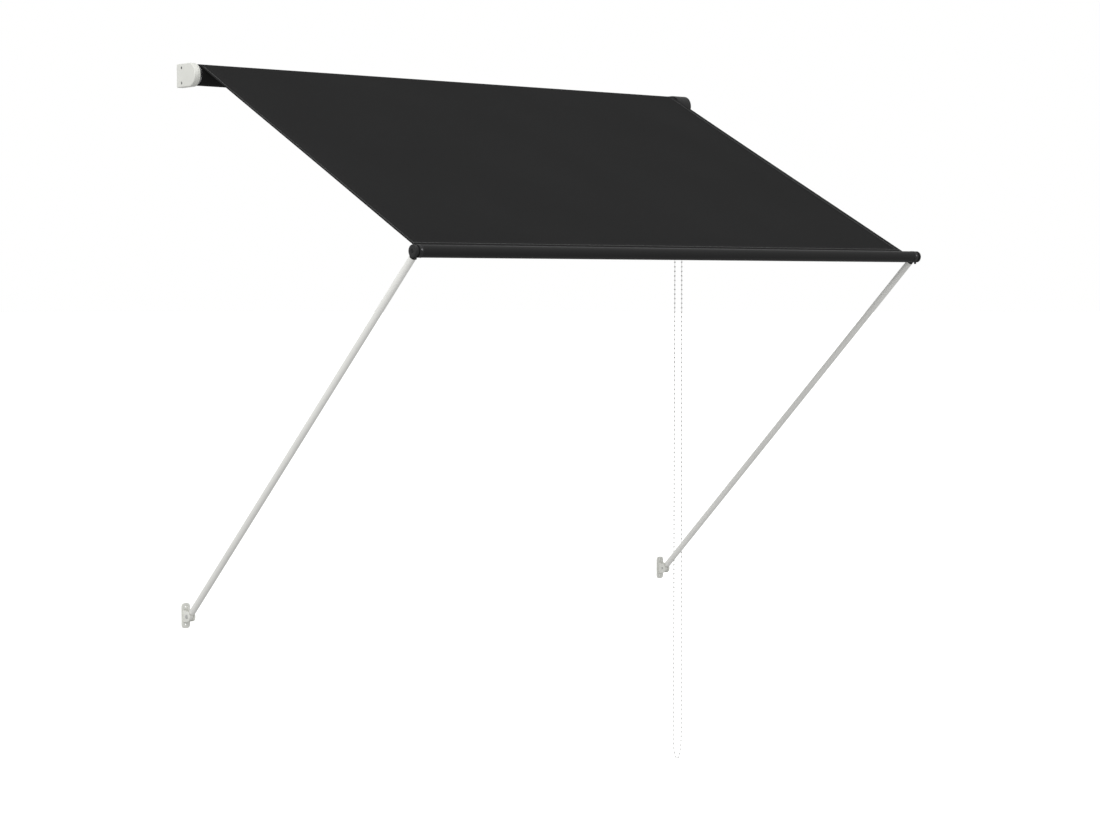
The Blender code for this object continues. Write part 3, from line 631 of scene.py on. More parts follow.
def fused(base, others, operation):
    """The base shape joined with the others, or with them cut away."""
    made = []
    for bm in (base, *others):
        mesh = bpy.data.meshes.new("shaping")
        bm.to_mesh(mesh)
        bm.free()
        made.append(bpy.data.objects.new("shaping", mesh))
        bpy.context.scene.collection.objects.link(made[-1])
    for helper in made[1:]:
        modifier = made[0].modifiers.new("shape", "BOOLEAN")
        modifier.operation = operation
        modifier.object = helper
        modifier.solver = "EXACT"
    bpy.context.view_layer.update()
    evaluated = made[0].evaluated_get(bpy.context.evaluated_depsgraph_get())
    result = bmesh.new()
    result.from_mesh(evaluated.to_mesh())
    evaluated.to_mesh_clear()
    for helper in made:
        bpy.data.objects.remove(helper)
    bmesh.ops.remove_doubles(result, verts=result.verts, dist=0.000004)
    bmesh.ops.dissolve_limit(
        result, angle_limit=math.radians(0.3), verts=result.verts, edges=result.edges
    )
    return result


def softened(bm, width, segments=2, angle=40.0):
    """Rounds the edges that are sharper than angle."""
    edges = []
    for edge in bm.edges:
        if len(edge.link_faces) == 2 and edge.calc_face_angle() > math.radians(angle):
            edges.append(edge)
    bmesh.ops.bevel(
        bm, geom=edges, offset=width, segments=segments, profile=0.5, affect="EDGES", clamp_overlap=True
    )
    return bm


def new_piece(name, bm, material, body, nodes=(), angle=35.0):
    """Makes a named object from a bmesh in the awning's frame, and sets what it rides on and stands for."""
    mesh = bpy.data.meshes.new(name)
    bm.to_mesh(mesh)
    bm.free()
    mesh.shade_smooth()
    mesh.set_sharp_from_angle(angle=math.radians(angle))
    mesh.materials.append(finish_named(material))
    piece = bpy.data.objects.new(name, mesh)
    bpy.context.scene.collection.objects.link(piece)
    if body:
        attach(piece, body)
    if nodes:
        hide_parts(*nodes)
    return piece


def refinish(node, material):
    """Gives a carried-over node its full finish."""
    frame["nodes"][node].material_slots[0].material = finish_named(material)


def graded(start, end, marks, step):
    """Places from start to end about a step apart, with every mark among them."""
    places = sorted({start, end, *marks})
    filled = []
    for low, high in zip(places, places[1:], strict=False):
        count = max(1, math.ceil((high - low) / step))
        filled += [low + (high - low) * index / count for index in range(count)]
    return [*filled, end]


# ---------------------------------------------------------------- cloth
def cloth_point(x, v, height):
    """A place on the cloth: v up it from the bar's axis, and height above its middle."""
    if v <= ROLL_START:
        return Vector((x, 0.0, 0.0)) + BAR_AXIS + CLOTH_UP * v + CLOTH_NORMAL * height
    turn = (v - ROLL_START) / CLOTH_OFFSET
    out = CLOTH_NORMAL * math.cos(turn) + CLOTH_UP * math.sin(turn)
    return Vector((x, 0.0, 0.0)) + ROLLER_AXIS + out * (CLOTH_OFFSET + height)


def cloth_drift(x, v, sag):
    """How far the stretched cloth strays from a plane: a shallow dip, slow ripples and lifted edges."""
    share = min(1.0, max(0.0, (v - 0.015) / (ROLL_START - 0.015)))
    held = math.sin(math.pi * share)
    dip = -sag * 4 * share * (1 - share)
    ripple = 0.0007 * math.sin(9.1 * x + 1.3 + 1.5 * share) + 0.0004 * math.sin(23.0 * x + 4.0 * share)
    from_edge = min(x - CLOTH_LEFT, CLOTH_RIGHT - x)
    lift = 0.0022 * math.exp(-from_edge / 0.05)
    return dip + held * (ripple + lift)


def ramp(value, start, end):
    """0 before start, 1 after end, and smooth between."""
    share = min(1.0, max(0.0, (value - start) / (end - start)))
    return share * share * (3 - 2 * share)


def layers_below(x, v, settings):
    """How many folded layers lie under the cloth there: side hems and the fold round the bar's cord."""
    from_edge = min(x - CLOTH_LEFT, CLOTH_RIGHT - x)
    side = 1 - ramp(from_edge, settings.hem_width, settings.hem_width + 0.0006)
    seam_edge = settings.bar_seam + 0.003
    lower = (1 - ramp(v, seam_edge, seam_edge + 0.0006)) * ramp(v, 0.0145, 0.0175)
    return max(side * (1 - ramp(v, ROLL_START - 0.02, ROLL_START)), lower)


def cloth_panel(settings):
    """The stretched cloth as one closed sheet with folded hems, from the bar's slot to the roll."""
    half = settings.thickness / 2
    wrap_end = ROLL_START + CLOTH_OFFSET * math.radians(30)
    hem = settings.hem_width
    marks = [CLOTH_LEFT + d for d in (0.0004, 0.003, hem - 0.0024, hem, hem + 0.0003, hem + 0.0006)]
    marks += [CLOTH_RIGHT - (mark - CLOTH_LEFT) for mark in marks]
    columns = graded(CLOTH_LEFT, CLOTH_RIGHT, marks, 0.018)
    seam = settings.bar_seam
    marks = [0.0145, 0.016, 0.0175, seam, seam + 0.003, seam + 0.0033, seam + 0.0036, ROLL_START]
    rows = graded(0.0119, ROLL_START, marks, 0.012) + graded(ROLL_START, wrap_end, (), 0.0015)[1:]
    bm = bmesh.new()
    place = bm.loops.layers.uv.new("cloth")
    top, bottom, where = [], [], {}
    for v in rows:
        upper, lower = [], []
        for x in columns:
            drift = cloth_drift(x, v, settings.sag)
            fold = layers_below(x, v, settings)
            edge = 1 - ramp(min(x - CLOTH_LEFT, CLOTH_RIGHT - x), 0.0, 0.0004)
            over = half * (1 - 0.5 * edge) + 0.00012 * fold
            under = half * (1 - 0.5 * edge) + settings.thickness * fold
            upper.append(bm.verts.new(cloth_point(x, v, drift + over)))
            lower.append(bm.verts.new(cloth_point(x, v, drift - under)))
            where[upper[-1]] = (x, v)
            where[lower[-1]] = (x, v)
        top.append(upper)
        bottom.append(lower)
    for row in range(len(rows) - 1):
        for column in range(len(columns) - 1):
            for layer in (top, bottom):
                a, b = layer[row][column : column + 2]
                d, c = layer[row + 1][column : column + 2]
                bm.faces.new((a, b, c, d))
        for column in (0, -1):
            a, b = top[row][column], top[row + 1][column]
            d, c = bottom[row][column], bottom[row + 1][column]
            bm.faces.new((a, b, c, d))
    for row in (0, -1):
        for column in range(len(columns) - 1):
            a, b = top[row][column : column + 2]
            d, c = bottom[row][column : column + 2]
            bm.faces.new((a, b, c, d))
    bmesh.ops.recalc_face_normals(bm, faces=bm.faces)
    for face in bm.faces:
        for loop in face.loops:
            loop[place].uv = where[loop.vert]
    return new_piece("canopy_panel", bm, "awning_cloth", None, ["canopy_cloth"], 50.0)


def add_stitch(bm, centre, way, normal, length, width, height):
    """One stitch: a short thread that dips into the cloth at both ends."""
    side = way.cross(normal)
    rings = []
    for share, swell in ((-0.5, 0.25), (-0.32, 0.85), (0.0, 1.0), (0.32, 0.85), (0.5, 0.25)):
        ring = []
        for step in range(6):
            turn = 2 * math.pi * step / 6
            across = side * (math.cos(turn) * width / 2 * swell)
            up = normal * (math.sin(turn) * height * swell - (1 - swell) * height * 0.6)
            ring.append(bm.verts.new(centre + way * (share * length) + across + up))
        rings.append(ring)
    for ring, other in zip(rings, rings[1:], strict=False):
        for step in range(6):
            following = (step + 1) % 6
            bm.faces.new((ring[step], ring[following], other[following], other[step]))
    bm.faces.new(rings[0])
    bm.faces.new(rings[-1])


def seam_stitches(settings):
    """Lines of stitches down both side hems and across above the bar, on both faces of the cloth."""
    bm = bmesh.new()
    half = settings.thickness / 2
    pitch = settings.stitch_pitch
    across = Vector((1.0, 0.0, 0.0))
    lines = []
    for x in (CLOTH_LEFT + settings.left_stitch_inset, CLOTH_RIGHT - settings.right_stitch_inset):
        count = int((ROLL_START - 0.006 - settings.bar_seam) / pitch)
        lines += [(x, settings.bar_seam + pitch * (index + 0.9), CLOTH_UP) for index in range(count)]
    count = int((CLOTH_RIGHT - CLOTH_LEFT - 0.006) / pitch)
    start = CLOTH_LEFT + (CLOTH_RIGHT - CLOTH_LEFT - (count - 1) * pitch) / 2
    lines += [(start + pitch * index, settings.bar_seam, across) for index in range(count)]
    for x, v, way in lines:
        drift = cloth_drift(x, v, settings.sag)
        fold = layers_below(x, v, settings)
        over = cloth_point(x, v, drift + half + 0.00012 * fold)
        under = cloth_point(x, v, drift - half - settings.thickness * fold)
        add_stitch(bm, over, way, CLOTH_NORMAL, pitch * 0.86, 0.0014, 0.00040)
        add_stitch(bm, under, way, -CLOTH_NORMAL, pitch * 0.86, 0.0010, 0.00030)
    bmesh.ops.recalc_face_normals(bm, faces=bm.faces)
    return new_piece("seam_stitching", bm, "seam_thread", None, (), 60.0)


def take_up_evenly(piece, start, end):
    """The piece shortens and lengthens evenly between two places as the cloth winds."""
    way = end - start
    attribute = piece.data.attributes["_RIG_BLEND"]
    for vertex, weight in zip(piece.data.vertices, attribute.data, strict=True):
        share = (vertex.co - start).dot(way) / way.length_squared
        weight.value = min(1.0, max(0.0, share))


class AWNING_OT_cloth(bpy.types.Operator):
    """Build the stretched cloth with its hems and stitching"""

    bl_idname = "awning.cloth"
    bl_label = "Cloth"

    def execute(self, context):
        settings = context.scene.awning_cloth
        start = BAR_AXIS + CLOTH_UP * (settings.bar_seam + 0.008)
        end = BAR_AXIS + CLOTH_UP * (ROLL_START - 0.004)
        panel = cloth_panel(settings)
        stitching = seam_stitches(settings)
        for piece in (panel, stitching):
            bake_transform(piece, "front_bar", "canopy", start=start, end=end)
            take_up_evenly(piece, start, end)
        refinish("cloth_edge_cord", "seam_thread")
        return {"FINISHED"}


# ---------------------------------------------------------------- roller
def wound_cloth(settings):
    """The turns of cloth left on the roller: a spiral whose outer end is the stretched cloth."""
    steps = 120
    layer_count = 8
    start = math.radians(30)
    outer = CLOTH_OFFSET + settings.thickness / 2
    core = 0.0217 + GAP
    bm = bmesh.new()
    place = bm.loops.layers.uv.new("cloth")
    where = {}

    def ring(x, share):
        """One loop round the roll, share of the way from the outside to the core."""
        points = []
        for step in range(steps + 1):
            turn = start + 2 * math.pi * step / steps
            radius = outer - settings.thickness * turn / (2 * math.pi)
            radius += (core - radius) * share
            out = CLOTH_NORMAL * math.cos(turn) + CLOTH_UP * math.sin(turn)
            vertex = bm.verts.new(Vector((x, 0.0, 0.0)) + ROLLER_AXIS + out * radius)
            where[vertex] = (x + share * 0.002, ROLL_START + turn * radius)
            points.append(vertex)
        return points

    rings = []
    for index in range(layer_count, -1, -1):
        rings.append(ring(CLOTH_LEFT + (index % 2) * 0.00035, index / layer_count))
    for x in graded(CLOTH_LEFT, CLOTH_RIGHT, (), 0.09)[1:-1]:
        rings.append(ring(x, 0.0))
    for index in range(layer_count + 1):
        rings.append(ring(CLOTH_RIGHT - (index % 2) * 0.00035, index / layer_count))
    rings.append(rings[0])
    for one, other in zip(rings, rings[1:], strict=False):
        for step in range(steps + 1):
            following = (step + 1) % (steps + 1)
            bm.faces.new((one[step], one[following], other[following], other[step]))
    bmesh.ops.recalc_face_normals(bm, faces=bm.faces)
    for face in bm.faces:
        for loop in face.loops:
            loop[place].uv = where[loop.vert]
    new_piece("wound_cloth", bm, "awning_cloth", "roller", ["cloth_roll"])


class AWNING_OT_roller(bpy.types.Operator):
    """Build the cloth wound on the roller and finish the roller's tube, plugs and axle"""

    bl_idname = "awning.roller"
    bl_label = "Roller"

    def execute(self, context):
        wound_cloth(context.scene.awning_cloth)
        refinish("roller_tube", "mill_aluminium")
        for node in ("roller_plug_left", "roller_plug_right", "chain_wheel_right"):
            refinish(node, "moulded_black")
        for node in ("idle_pin_left", "clutch_hub_right"):
            refinish(node, "dull_steel")
        return {"FINISHED"}


# ---------------------------------------------------------------- end housings
def housing_loop(x, inset, back=0.0, steps=56):
    """The housing's D at one X: straight at the wall, a half round in front."""
    radius = HOUSING_HALF_HEIGHT - inset
    centre = (-(HOUSING_DEPTH - HOUSING_HALF_HEIGHT), 0.0)
    outline = arc(centre, radius, math.pi / 2, math.pi * 3 / 2, steps)
    outline += [(centre[0] / 2, -radius), (back, -radius), (back, radius), (centre[0] / 2, radius)]
    return [(x, y, z) for y, z in outline]


def housing_cover(side, material, extra_cut=None):
    """A D-shaped shell with a rounded rim, two sunk screw holes and, on the drive side, the chain's slot."""
    node = "bracket_cover_left" if side == "left" else "chain_cover_right"
    low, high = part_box(node)
    outer, edge = (low.x, high.x) if side == "left" else (high.x, low.x)
    inward = -OUTWARD[side]
    rim = 0.0022
    loops = []
    for step in range(7):
        turn = math.pi / 2 * step / 6
        loops.append(housing_loop(outer + inward * rim * (1 - math.sin(turn)), rim * (1 - math.cos(turn))))
    loops = [housing_loop(edge, 0.0003), housing_loop(edge - inward * 0.0003, 0.0), *loops]
    shell = lofted(loops)
    hollow_ends = (outer + inward * HOUSING_WALL, edge + inward * PAST_EDGE)
    cuts = [lofted([housing_loop(x, HOUSING_WALL, PAST_EDGE) for x in hollow_ends])]
    for place_name in ("upper", "lower"):
        screw_low, screw_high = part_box(f"cover_screw_{side}_{place_name}")
        centre = (screw_low + screw_high) / 2
        start = Vector((outer - inward * 0.004, centre.y, centre.z))
        radius = (screw_high.z - screw_low.z) / 2 + GAP
        profile = [(0.0, 0.0), (0.0, radius + 0.0008), (0.0040, radius + 0.0008)]
        profile += [(0.0046, radius), (0.0090, radius), (0.0090, 0.0)]
        cuts.append(turned(profile, along(Vector((inward, 0.0, 0.0)), start), 32))
    if extra_cut:
        cuts.append(extra_cut)
    cover = fused(shell, cuts, "DIFFERENCE")
    new_piece(f"end_cover_{side}", cover, material, "root", [node], 28.0)


def sunk_screw(name, node, body, axis, radius, start, end, shank, material):
    """A round-headed screw with a cross recess. start is the head's face and axis points into the part."""
    length = (end - start).length
    head = min(0.0019, length * 0.5)
    profile = [(0.0004, 0.0), (0.0, radius * 0.55), (0.0004, radius * 0.92), (0.0010, radius), (head, radius)]
    profile += [(head + 0.0001, shank), (length - 0.0006, shank), (length, shank * 0.6), (length, 0.0)]
    place = along(axis, start)
    body_shape = turned(profile, place, 32)
    arms = []
    for turn in (math.radians(20), math.radians(110)):
        reach = radius * 0.62
        arm_shape = box((-0.001, -reach, -radius * 0.13), (0.0011, reach, radius * 0.13))
        arm_shape.transform(place @ Matrix.Rotation(turn, 4, "X"))
        arms.append(arm_shape)
    shape = fused(body_shape, arms, "DIFFERENCE")
    new_piece(name, shape, material, body, [node])


class AWNING_OT_end_housings(bpy.types.Operator):
    """Build the two end covers with their screws and finish the plates behind them"""

    bl_idname = "awning.end_housings"
    bl_label = "End housings"

    def execute(self, context):
        housing_cover("left", "powder_coat")
        slot_low = -HOUSING_HALF_HEIGHT - PAST_EDGE
        low = (CHAIN_X - CHAIN_SLOT_HALF_WIDTH, ROLLER_AXIS.y - CHAIN_SLOT_REACH, slot_low)
        high = (CHAIN_X + CHAIN_SLOT_HALF_WIDTH, ROLLER_AXIS.y + CHAIN_SLOT_REACH, CHAIN_SLOT_TOP)
        housing_cover("right", "moulded_black", box(low, high))
        for side in ("left", "right"):
            axis = Vector((-OUTWARD[side], 0.0, 0.0))
            for place_name in ("upper", "lower"):
                node = f"cover_screw_{side}_{place_name}"
                low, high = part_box(node)
                centre = (low + high) / 2
                ends = [Vector((x, centre.y, centre.z)) for x in (low.x, high.x)]
                start, end = ends if side == "left" else ends[::-1]
                radius = (high.z - low.z) / 2
                name = f"cover_fixing_{side}_{place_name}"
                sunk_screw(name, node, "root", axis, radius, start, end, 0.0015, "dull_steel")
        refinish("roller_bracket_left", "powder_coat")
        refinish("roller_bracket_right", "moulded_black")
        return {"FINISHED"}


# ---------------------------------------------------------------- wall brackets
def rounded_rectangle(width, height, radius, steps):
    """A rectangle about the origin with round corners."""
    points = []
    for corner, (sx, sz) in enumerate(((1, 1), (-1, 1), (-1, -1), (1, -1))):
        centre = (sx * (width / 2 - radius), sz * (height / 2 - radius))
        start = corner * math.pi / 2
        points += arc(centre, radius, start, start + math.pi / 2, steps)
    return points


def wall_bracket(side, edge):
    """A cast plate with two screw holes and a pair of ears round the arm's knuckle."""
    node = f"arm_bracket_{side}"
    low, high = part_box(node)
    x = ARM_X[side]
    outline = rounded_rectangle(high.x - low.x, high.z - low.z, 0.008, 10)
    plate = extruded([[(a + x, b + PIVOT.z) for a, b in outline]], "Y", -PLATE_THICKNESS, 0.0)
    softened(plate, edge * 1.4, 3)
    root = -PLATE_THICKNESS + 0.001
    centre = (PIVOT.y, PIVOT.z)
    ears = []
    for direction in (-1, 1):
        near = x + direction * (KNUCKLE_HALF_WIDTH + EAR_CLEARANCE)
        ear = [(root, PIVOT.z + EAR_RADIUS + 0.002)]
        ear += arc(centre, EAR_RADIUS, math.pi / 2, math.pi * 3 / 2, 28)
        ear.append((root, PIVOT.z - EAR_RADIUS - 0.002))
        ear_shape = extruded([ear], "X", near, near + direction * EAR_THICKNESS)
        ears.append(softened(ear_shape, edge, 2, 60.0))
    joined = fused(plate, ears, "UNION")
    bore = PIN_RADIUS + GAP
    profile = [(-0.02, 0.0), (-0.02, bore), (0.02, bore), (0.02, 0.0)]
    cuts = [turned(profile, shift(PIVOT + Vector((x, 0.0, 0.0))), 32)]
    for direction in (-1, 1):
        start = Vector((x, -PLATE_THICKNESS - 0.001, PIVOT.z + direction * HOLE_SPACING / 2))
        profile = [(0.0, 0.0), (0.0, 0.0031), (0.0011, 0.0029), (0.0015, HOLE_RADIUS)]
        profile += [(0.010, HOLE_RADIUS), (0.010, 0.0)]
        cuts.append(turned(profile, along(Vector((0.0, 1.0, 0.0)), start), 32))
    shape = fused(joined, cuts, "DIFFERENCE")
    new_piece(f"wall_bracket_{side}", shape, "powder_coat", "root", [node], 32.0)


def hinge_pin(side):
    """The headed pin that the arm swings on."""
    node = f"arm_pivot_pin_{side}"
    low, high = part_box(node)
    outward = OUTWARD[side]
    head_x, tail_x = (low.x, high.x) if outward < 0 else (high.x, low.x)
    length = high.x - low.x
    profile = [(0.0002, 0.0), (0.0, 0.0030), (0.0006, 0.0043), (0.0010, PIN_RADIUS + 0.0015)]
    profile += [(0.0018, PIN_RADIUS + 0.0015), (0.0018, PIN_RADIUS), (length - 0.0006, PIN_RADIUS)]
    profile += [(length, PIN_RADIUS - 0.0006), (length, 0.0)]
    start = Vector((head_x, PIVOT.y, PIVOT.z))
    way = Vector((math.copysign(1.0, tail_x - head_x), 0.0, 0.0))
    shape = turned(profile, along(way, start), 40)
    new_piece(f"hinge_pin_{side}", shape, "bright_zinc", "root", [node])


class AWNING_OT_wall_brackets(bpy.types.Operator):
    """Build the arms' two wall brackets and their pins"""

    bl_idname = "awning.wall_brackets"
    bl_label = "Wall brackets"

    def execute(self, context):
        for side in ("left", "right"):
            wall_bracket(side, context.scene.awning_frame.edge)
            hinge_pin(side)
        return {"FINISHED"}


# ---------------------------------------------------------------- arms
def arm_foot(side, segments):
    """The knuckle in the wall bracket with the stem that plugs into the arm's tube."""
    x = ARM_X[side]
    inside = ARM_RADIUS - ARM_WALL - GAP
    ends = (x - KNUCKLE_HALF_WIDTH, x + KNUCKLE_HALF_WIDTH)
    profile = [(ends[0], PIN_RADIUS + GAP), (ends[0], KNUCKLE_RADIUS), (ends[1], KNUCKLE_RADIUS)]
    profile.append((ends[1], PIN_RADIUS + GAP))
    knuckle = turned(rounded(profile, 0.0008, 4, keep=(0, 3)), shift(PIVOT), segments)
    neck = KNUCKLE_HALF_WIDTH - 0.0002
    clear = EAR_RADIUS + 0.0010
    profile = [(0.0055, 0.0), (0.0055, neck), (clear, neck), (clear + 0.0015, ARM_RADIUS)]
    profile += [(0.0167, ARM_RADIUS), (0.0167, inside), (0.045, inside), (0.045, 0.0)]
    stem = turned(rounded(profile, 0.0005, 3), along(ARM_WAY, PIVOT + Vector((x, 0.0, 0.0))), segments)
    shape = fused(knuckle, [stem], "UNION")
    new_piece(f"arm_knuckle_{side}", shape, "arm_paint", f"{side}_arm", [f"arm_foot_{side}"])


def arm_tube(side, segments):
    """The arm's tube with softly broken ends."""
    start, end = 0.0170, ARM_LENGTH - 0.018
    inner = ARM_RADIUS - ARM_WALL
    profile = [(start, inner), (start, ARM_RADIUS), (end, ARM_RADIUS), (end, inner)]
    place = along(ARM_WAY, PIVOT + Vector((ARM_X[side], 0.0, 0.0)))
    shape = turned(rounded(profile, 0.0003, 3, keep=(0, 3)), place, segments)
    new_piece(f"arm_{side}", shape, "arm_paint", f"{side}_arm", [f"arm_tube_{side}"])


def arm_head(side, segments, edge):
    """The moulded eye round the bar's end, with its neck, its plug and a small stop below."""
    x = ARM_X[side]
    outward = OUTWARD[side]
    ends = sorted((x + outward * 0.0009, x + outward * 0.0064))
    bore = STUB_RADIUS + GAP
    profile = [(ends[0], bore), (ends[0], HEAD_RADIUS), (ends[1], HEAD_RADIUS), (ends[1], bore)]
    eye = turned(rounded(profile, edge, 3), shift(BAR_AXIS), segments)
    tilt = math.radians(4)
    lug_way = Vector((0.0, -math.sin(tilt), -math.cos(tilt)))
    lug_place = along(lug_way, BAR_AXIS + Vector((sum(ends) / 2, 0.0, 0.0)))
    profile = [(0.0095, 0.0), (0.0095, LUG_RADIUS), (LUG_REACH, LUG_RADIUS), (LUG_REACH, 0.0)]
    lug = turned(rounded(profile, 0.0009, 4, keep=(1,)), lug_place, 24)
    neck = box((ends[0] + 0.0003, -0.005, 0.0), (ends[1] - 0.0003, 0.005, 0.0075))
    softened(neck, edge, 2)
    neck.transform(Matrix.Rotation(math.atan2(-ARM_WAY.y, ARM_WAY.z), 4, "X"))
    neck.transform(Matrix.Translation(BAR_AXIS - ARM_WAY * 0.0170))
    inside = ARM_RADIUS - ARM_WALL - GAP
    tube_end = ARM_LENGTH - 0.018
    far = ARM_LENGTH - 0.0144
    profile = [(tube_end - 0.030, 0.0), (tube_end - 0.030, inside), (tube_end + GAP, inside)]
    profile += [(tube_end + GAP, ARM_RADIUS), (far, ARM_RADIUS), (far, 0.0)]
    plug = turned(rounded(profile, 0.0005, 3), along(ARM_WAY, PIVOT + Vector((x, 0.0, 0.0))), 48)
    shape = fused(fused(eye, [lug], "UNION"), [neck, plug], "UNION")
    new_piece(f"arm_eye_{side}", shape, "moulded_black", f"{side}_arm", [f"arm_head_{side}"])


class AWNING_OT_arms(bpy.types.Operator):
    """Build both arms with their knuckles and heads"""

    bl_idname = "awning.arms"
    bl_label = "Arms"

    def execute(self, context):
        settings = context.scene.awning_frame
        for side in ("left", "right"):
            arm_foot(side, settings.segments)
            arm_tube(side, settings.segments)
            arm_head(side, settings.segments, settings.edge)
        return {"FINISHED"}


# ---------------------------------------------------------------- front bar
def bar_profile(segments):
    """The round bar's tube with its keyhole pocket for the cloth's edge cord."""
    low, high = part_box("front_bar_tube")
    slope = math.atan2(CLOTH_UP.z, CLOTH_UP.y)
    pocket_out = BAR_RADIUS - BAR_WALL - POCKET_RADIUS
    pocket = BAR_AXIS + CLOTH_UP * pocket_out
    centre, pocket_centre = (BAR_AXIS.y, BAR_AXIS.z), (pocket.y, pocket.z)
    slot_turn = math.asin(0.0008 / BAR_RADIUS)
    mouth_turn = math.asin(0.0008 / POCKET_RADIUS)
    once_round = slope + 2 * math.pi
    outline = arc(centre, BAR_RADIUS, slope + slot_turn, once_round - slot_turn, segments)
    outline += arc(pocket_centre, POCKET_RADIUS, once_round - mouth_turn, slope + mouth_turn, 28)
    inner = BAR_RADIUS - BAR_WALL
    shell = POCKET_RADIUS + POCKET_WALL
    # Where the pocket's outside meets the tube's inside, as an angle at each centre.
    at_bar = math.acos((pocket_out**2 + inner**2 - shell**2) / (2 * pocket_out * inner))
    at_pocket = math.acos((pocket_out**2 + shell**2 - inner**2) / (2 * pocket_out * shell))
    hollow = arc(centre, inner, slope + at_bar, once_round - at_bar, segments)
    hollow += arc(pocket_centre, shell, slope + math.pi + at_pocket, slope + math.pi - at_pocket, 20)[1:-1]
    shape = extruded([outline, hollow], "X", low.x, high.x)
    new_piece(
        "front_bar_profile", shape, "bar_lacquer", "front_bar", ["front_bar_tube"]
    )


def bar_plug(side, segments, edge):
    """The moulded plug in the bar's end: spigot, collar and the stub that turns in the arm's head."""
    x = ARM_X[side]
    outward = OUTWARD[side]
    pocket_out = BAR_RADIUS - BAR_WALL - POCKET_RADIUS
    spigot = pocket_out - POCKET_RADIUS - POCKET_WALL - GAP
    flange = -0.0098 + GAP
    profile = [(-0.040, 0.0), (-0.040, spigot), (flange, spigot), (flange, COLLAR_RADIUS + 0.0002)]
    profile += [(flange + 0.0012, COLLAR_RADIUS + 0.0002), (flange + 0.0014, COLLAR_RADIUS - 0.0005)]
    profile += [(flange + 0.0022, COLLAR_RADIUS - 0.0005), (flange + 0.0024, COLLAR_RADIUS)]
    profile += [(0.0006, COLLAR_RADIUS), (0.0006, STUB_RADIUS), (0.0081, STUB_RADIUS)]
    profile += [(0.0081, 0.0022), (-0.006, 0.0022), (-0.006, 0.0)]
    profile = rounded(profile, edge * 0.8, 3)
    shape = turned([(x + outward * a, radius) for a, radius in profile], shift(BAR_AXIS), segments)
    tilt = math.radians(12)
    screw_way = Vector((0.0, -math.cos(tilt), math.sin(tilt)))
    screw_place = BAR_AXIS + Vector((x - outward * 0.0042, 0.0, 0.0))
    recess_profile = [(0.0108, 0.0), (0.0108, 0.0024), (0.0200, 0.0024), (0.0200, 0.0)]
    shape = fused(shape, [turned(recess_profile, along(screw_way, screw_place), 32)], "DIFFERENCE")
    node = f"bar_end_plug_{side}"
    new_piece(f"bar_plug_{side}", shape, "moulded_black", "front_bar", [node])
    start = screw_place + screw_way * 0.0138
    end = screw_place + screw_way * (0.0108 + GAP)
    sunk_screw(
        f"collar_fixing_{side}", f"collar_screw_{side}", "front_bar", -screw_way, 0.0021, start, end,
        0.0019, "dull_steel",
    )


def bar_cap(side, segments, edge):
    """The disc on the bar's outer end, slightly domed, with a turned-down rim and its central screw."""
    outward = OUTWARD[side]
    x = ARM_X[side]
    near = 0.0068
    far = 0.0115
    profile = [(near, STUB_RADIUS + GAP), (near, CAP_RADIUS), (far - 0.0009, CAP_RADIUS)]
    profile += [(far - 0.0003, CAP_RADIUS - 0.0007), (far - 0.0005, CAP_RADIUS - 0.0016)]
    profile += [(far - 0.0001, CAP_RADIUS - 0.0022), (far, 0.0070), (far, 0.0042), (far - 0.0012, 0.0040)]
    profile += [(far - 0.0012, 0.0020), (0.0084, 0.0020), (0.0084, STUB_RADIUS + GAP)]
    profile = rounded(profile, edge * 0.8, 3)
    shape = turned([(x + outward * a, radius) for a, radius in profile], shift(BAR_AXIS), segments)
    node = f"bar_end_cap_{side}"
    new_piece(f"bar_cap_{side}", shape, "moulded_black", "front_bar", [node])
    low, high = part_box(f"cap_screw_{side}")
    head, tip = (low.x, high.x) if side == "left" else (high.x, low.x)
    start = Vector((head, BAR_AXIS.y, BAR_AXIS.z))
    end = Vector((tip, BAR_AXIS.y, BAR_AXIS.z))
    sunk_screw(
        f"cap_fixing_{side}", f"cap_screw_{side}", "front_bar", Vector((-outward, 0.0, 0.0)), 0.0037, start,
        end, 0.0017, "moulded_black",
    )


class AWNING_OT_front_bar(bpy.types.Operator):
    """Build the front bar with its end plugs, caps and screws"""

    bl_idname = "awning.front_bar"
    bl_label = "Front bar"

    def execute(self, context):
        settings = context.scene.awning_frame
        bar_profile(settings.segments + 24)
        for side in ("left", "right"):
            bar_plug(side, settings.segments, settings.edge)
            bar_cap(side, settings.segments, settings.edge)
        return {"FINISHED"}


# ---------------------------------------------------------------- bead chain
def smooth_route(points, spacing):
    """Points at even spacing on a Catmull-Rom curve through points, and the curve's length."""
    points = [Vector(p) for p in points]
    outside = [2 * points[0] - points[1], *points, 2 * points[-1] - points[-2]]
    dense = []
    for a, b, c, d in zip(outside, outside[1:], outside[2:], outside[3:], strict=False):
        for step in range(48):
            t = step / 48
            place = 2 * b + (c - a) * t + (2 * a - 5 * b + 4 * c - d) * t**2
            place += (3 * b - a - 3 * c + d) * t**3
            dense.append(place / 2)
    dense.append(points[-1])
    run = [0.0]
    for a, b in zip(dense, dense[1:], strict=False):
        run.append(run[-1] + (b - a).length)
    count = round(run[-1] / spacing)
    even = []
    index = 0
    for step in range(count + 1):
        target = run[-1] * step / count
        while index < len(run) - 2 and run[index + 1] < target:
            index += 1
        share = (target - run[index]) / (run[index + 1] - run[index])
        even.append(dense[index].lerp(dense[index + 1], share))
    return even, run[-1]


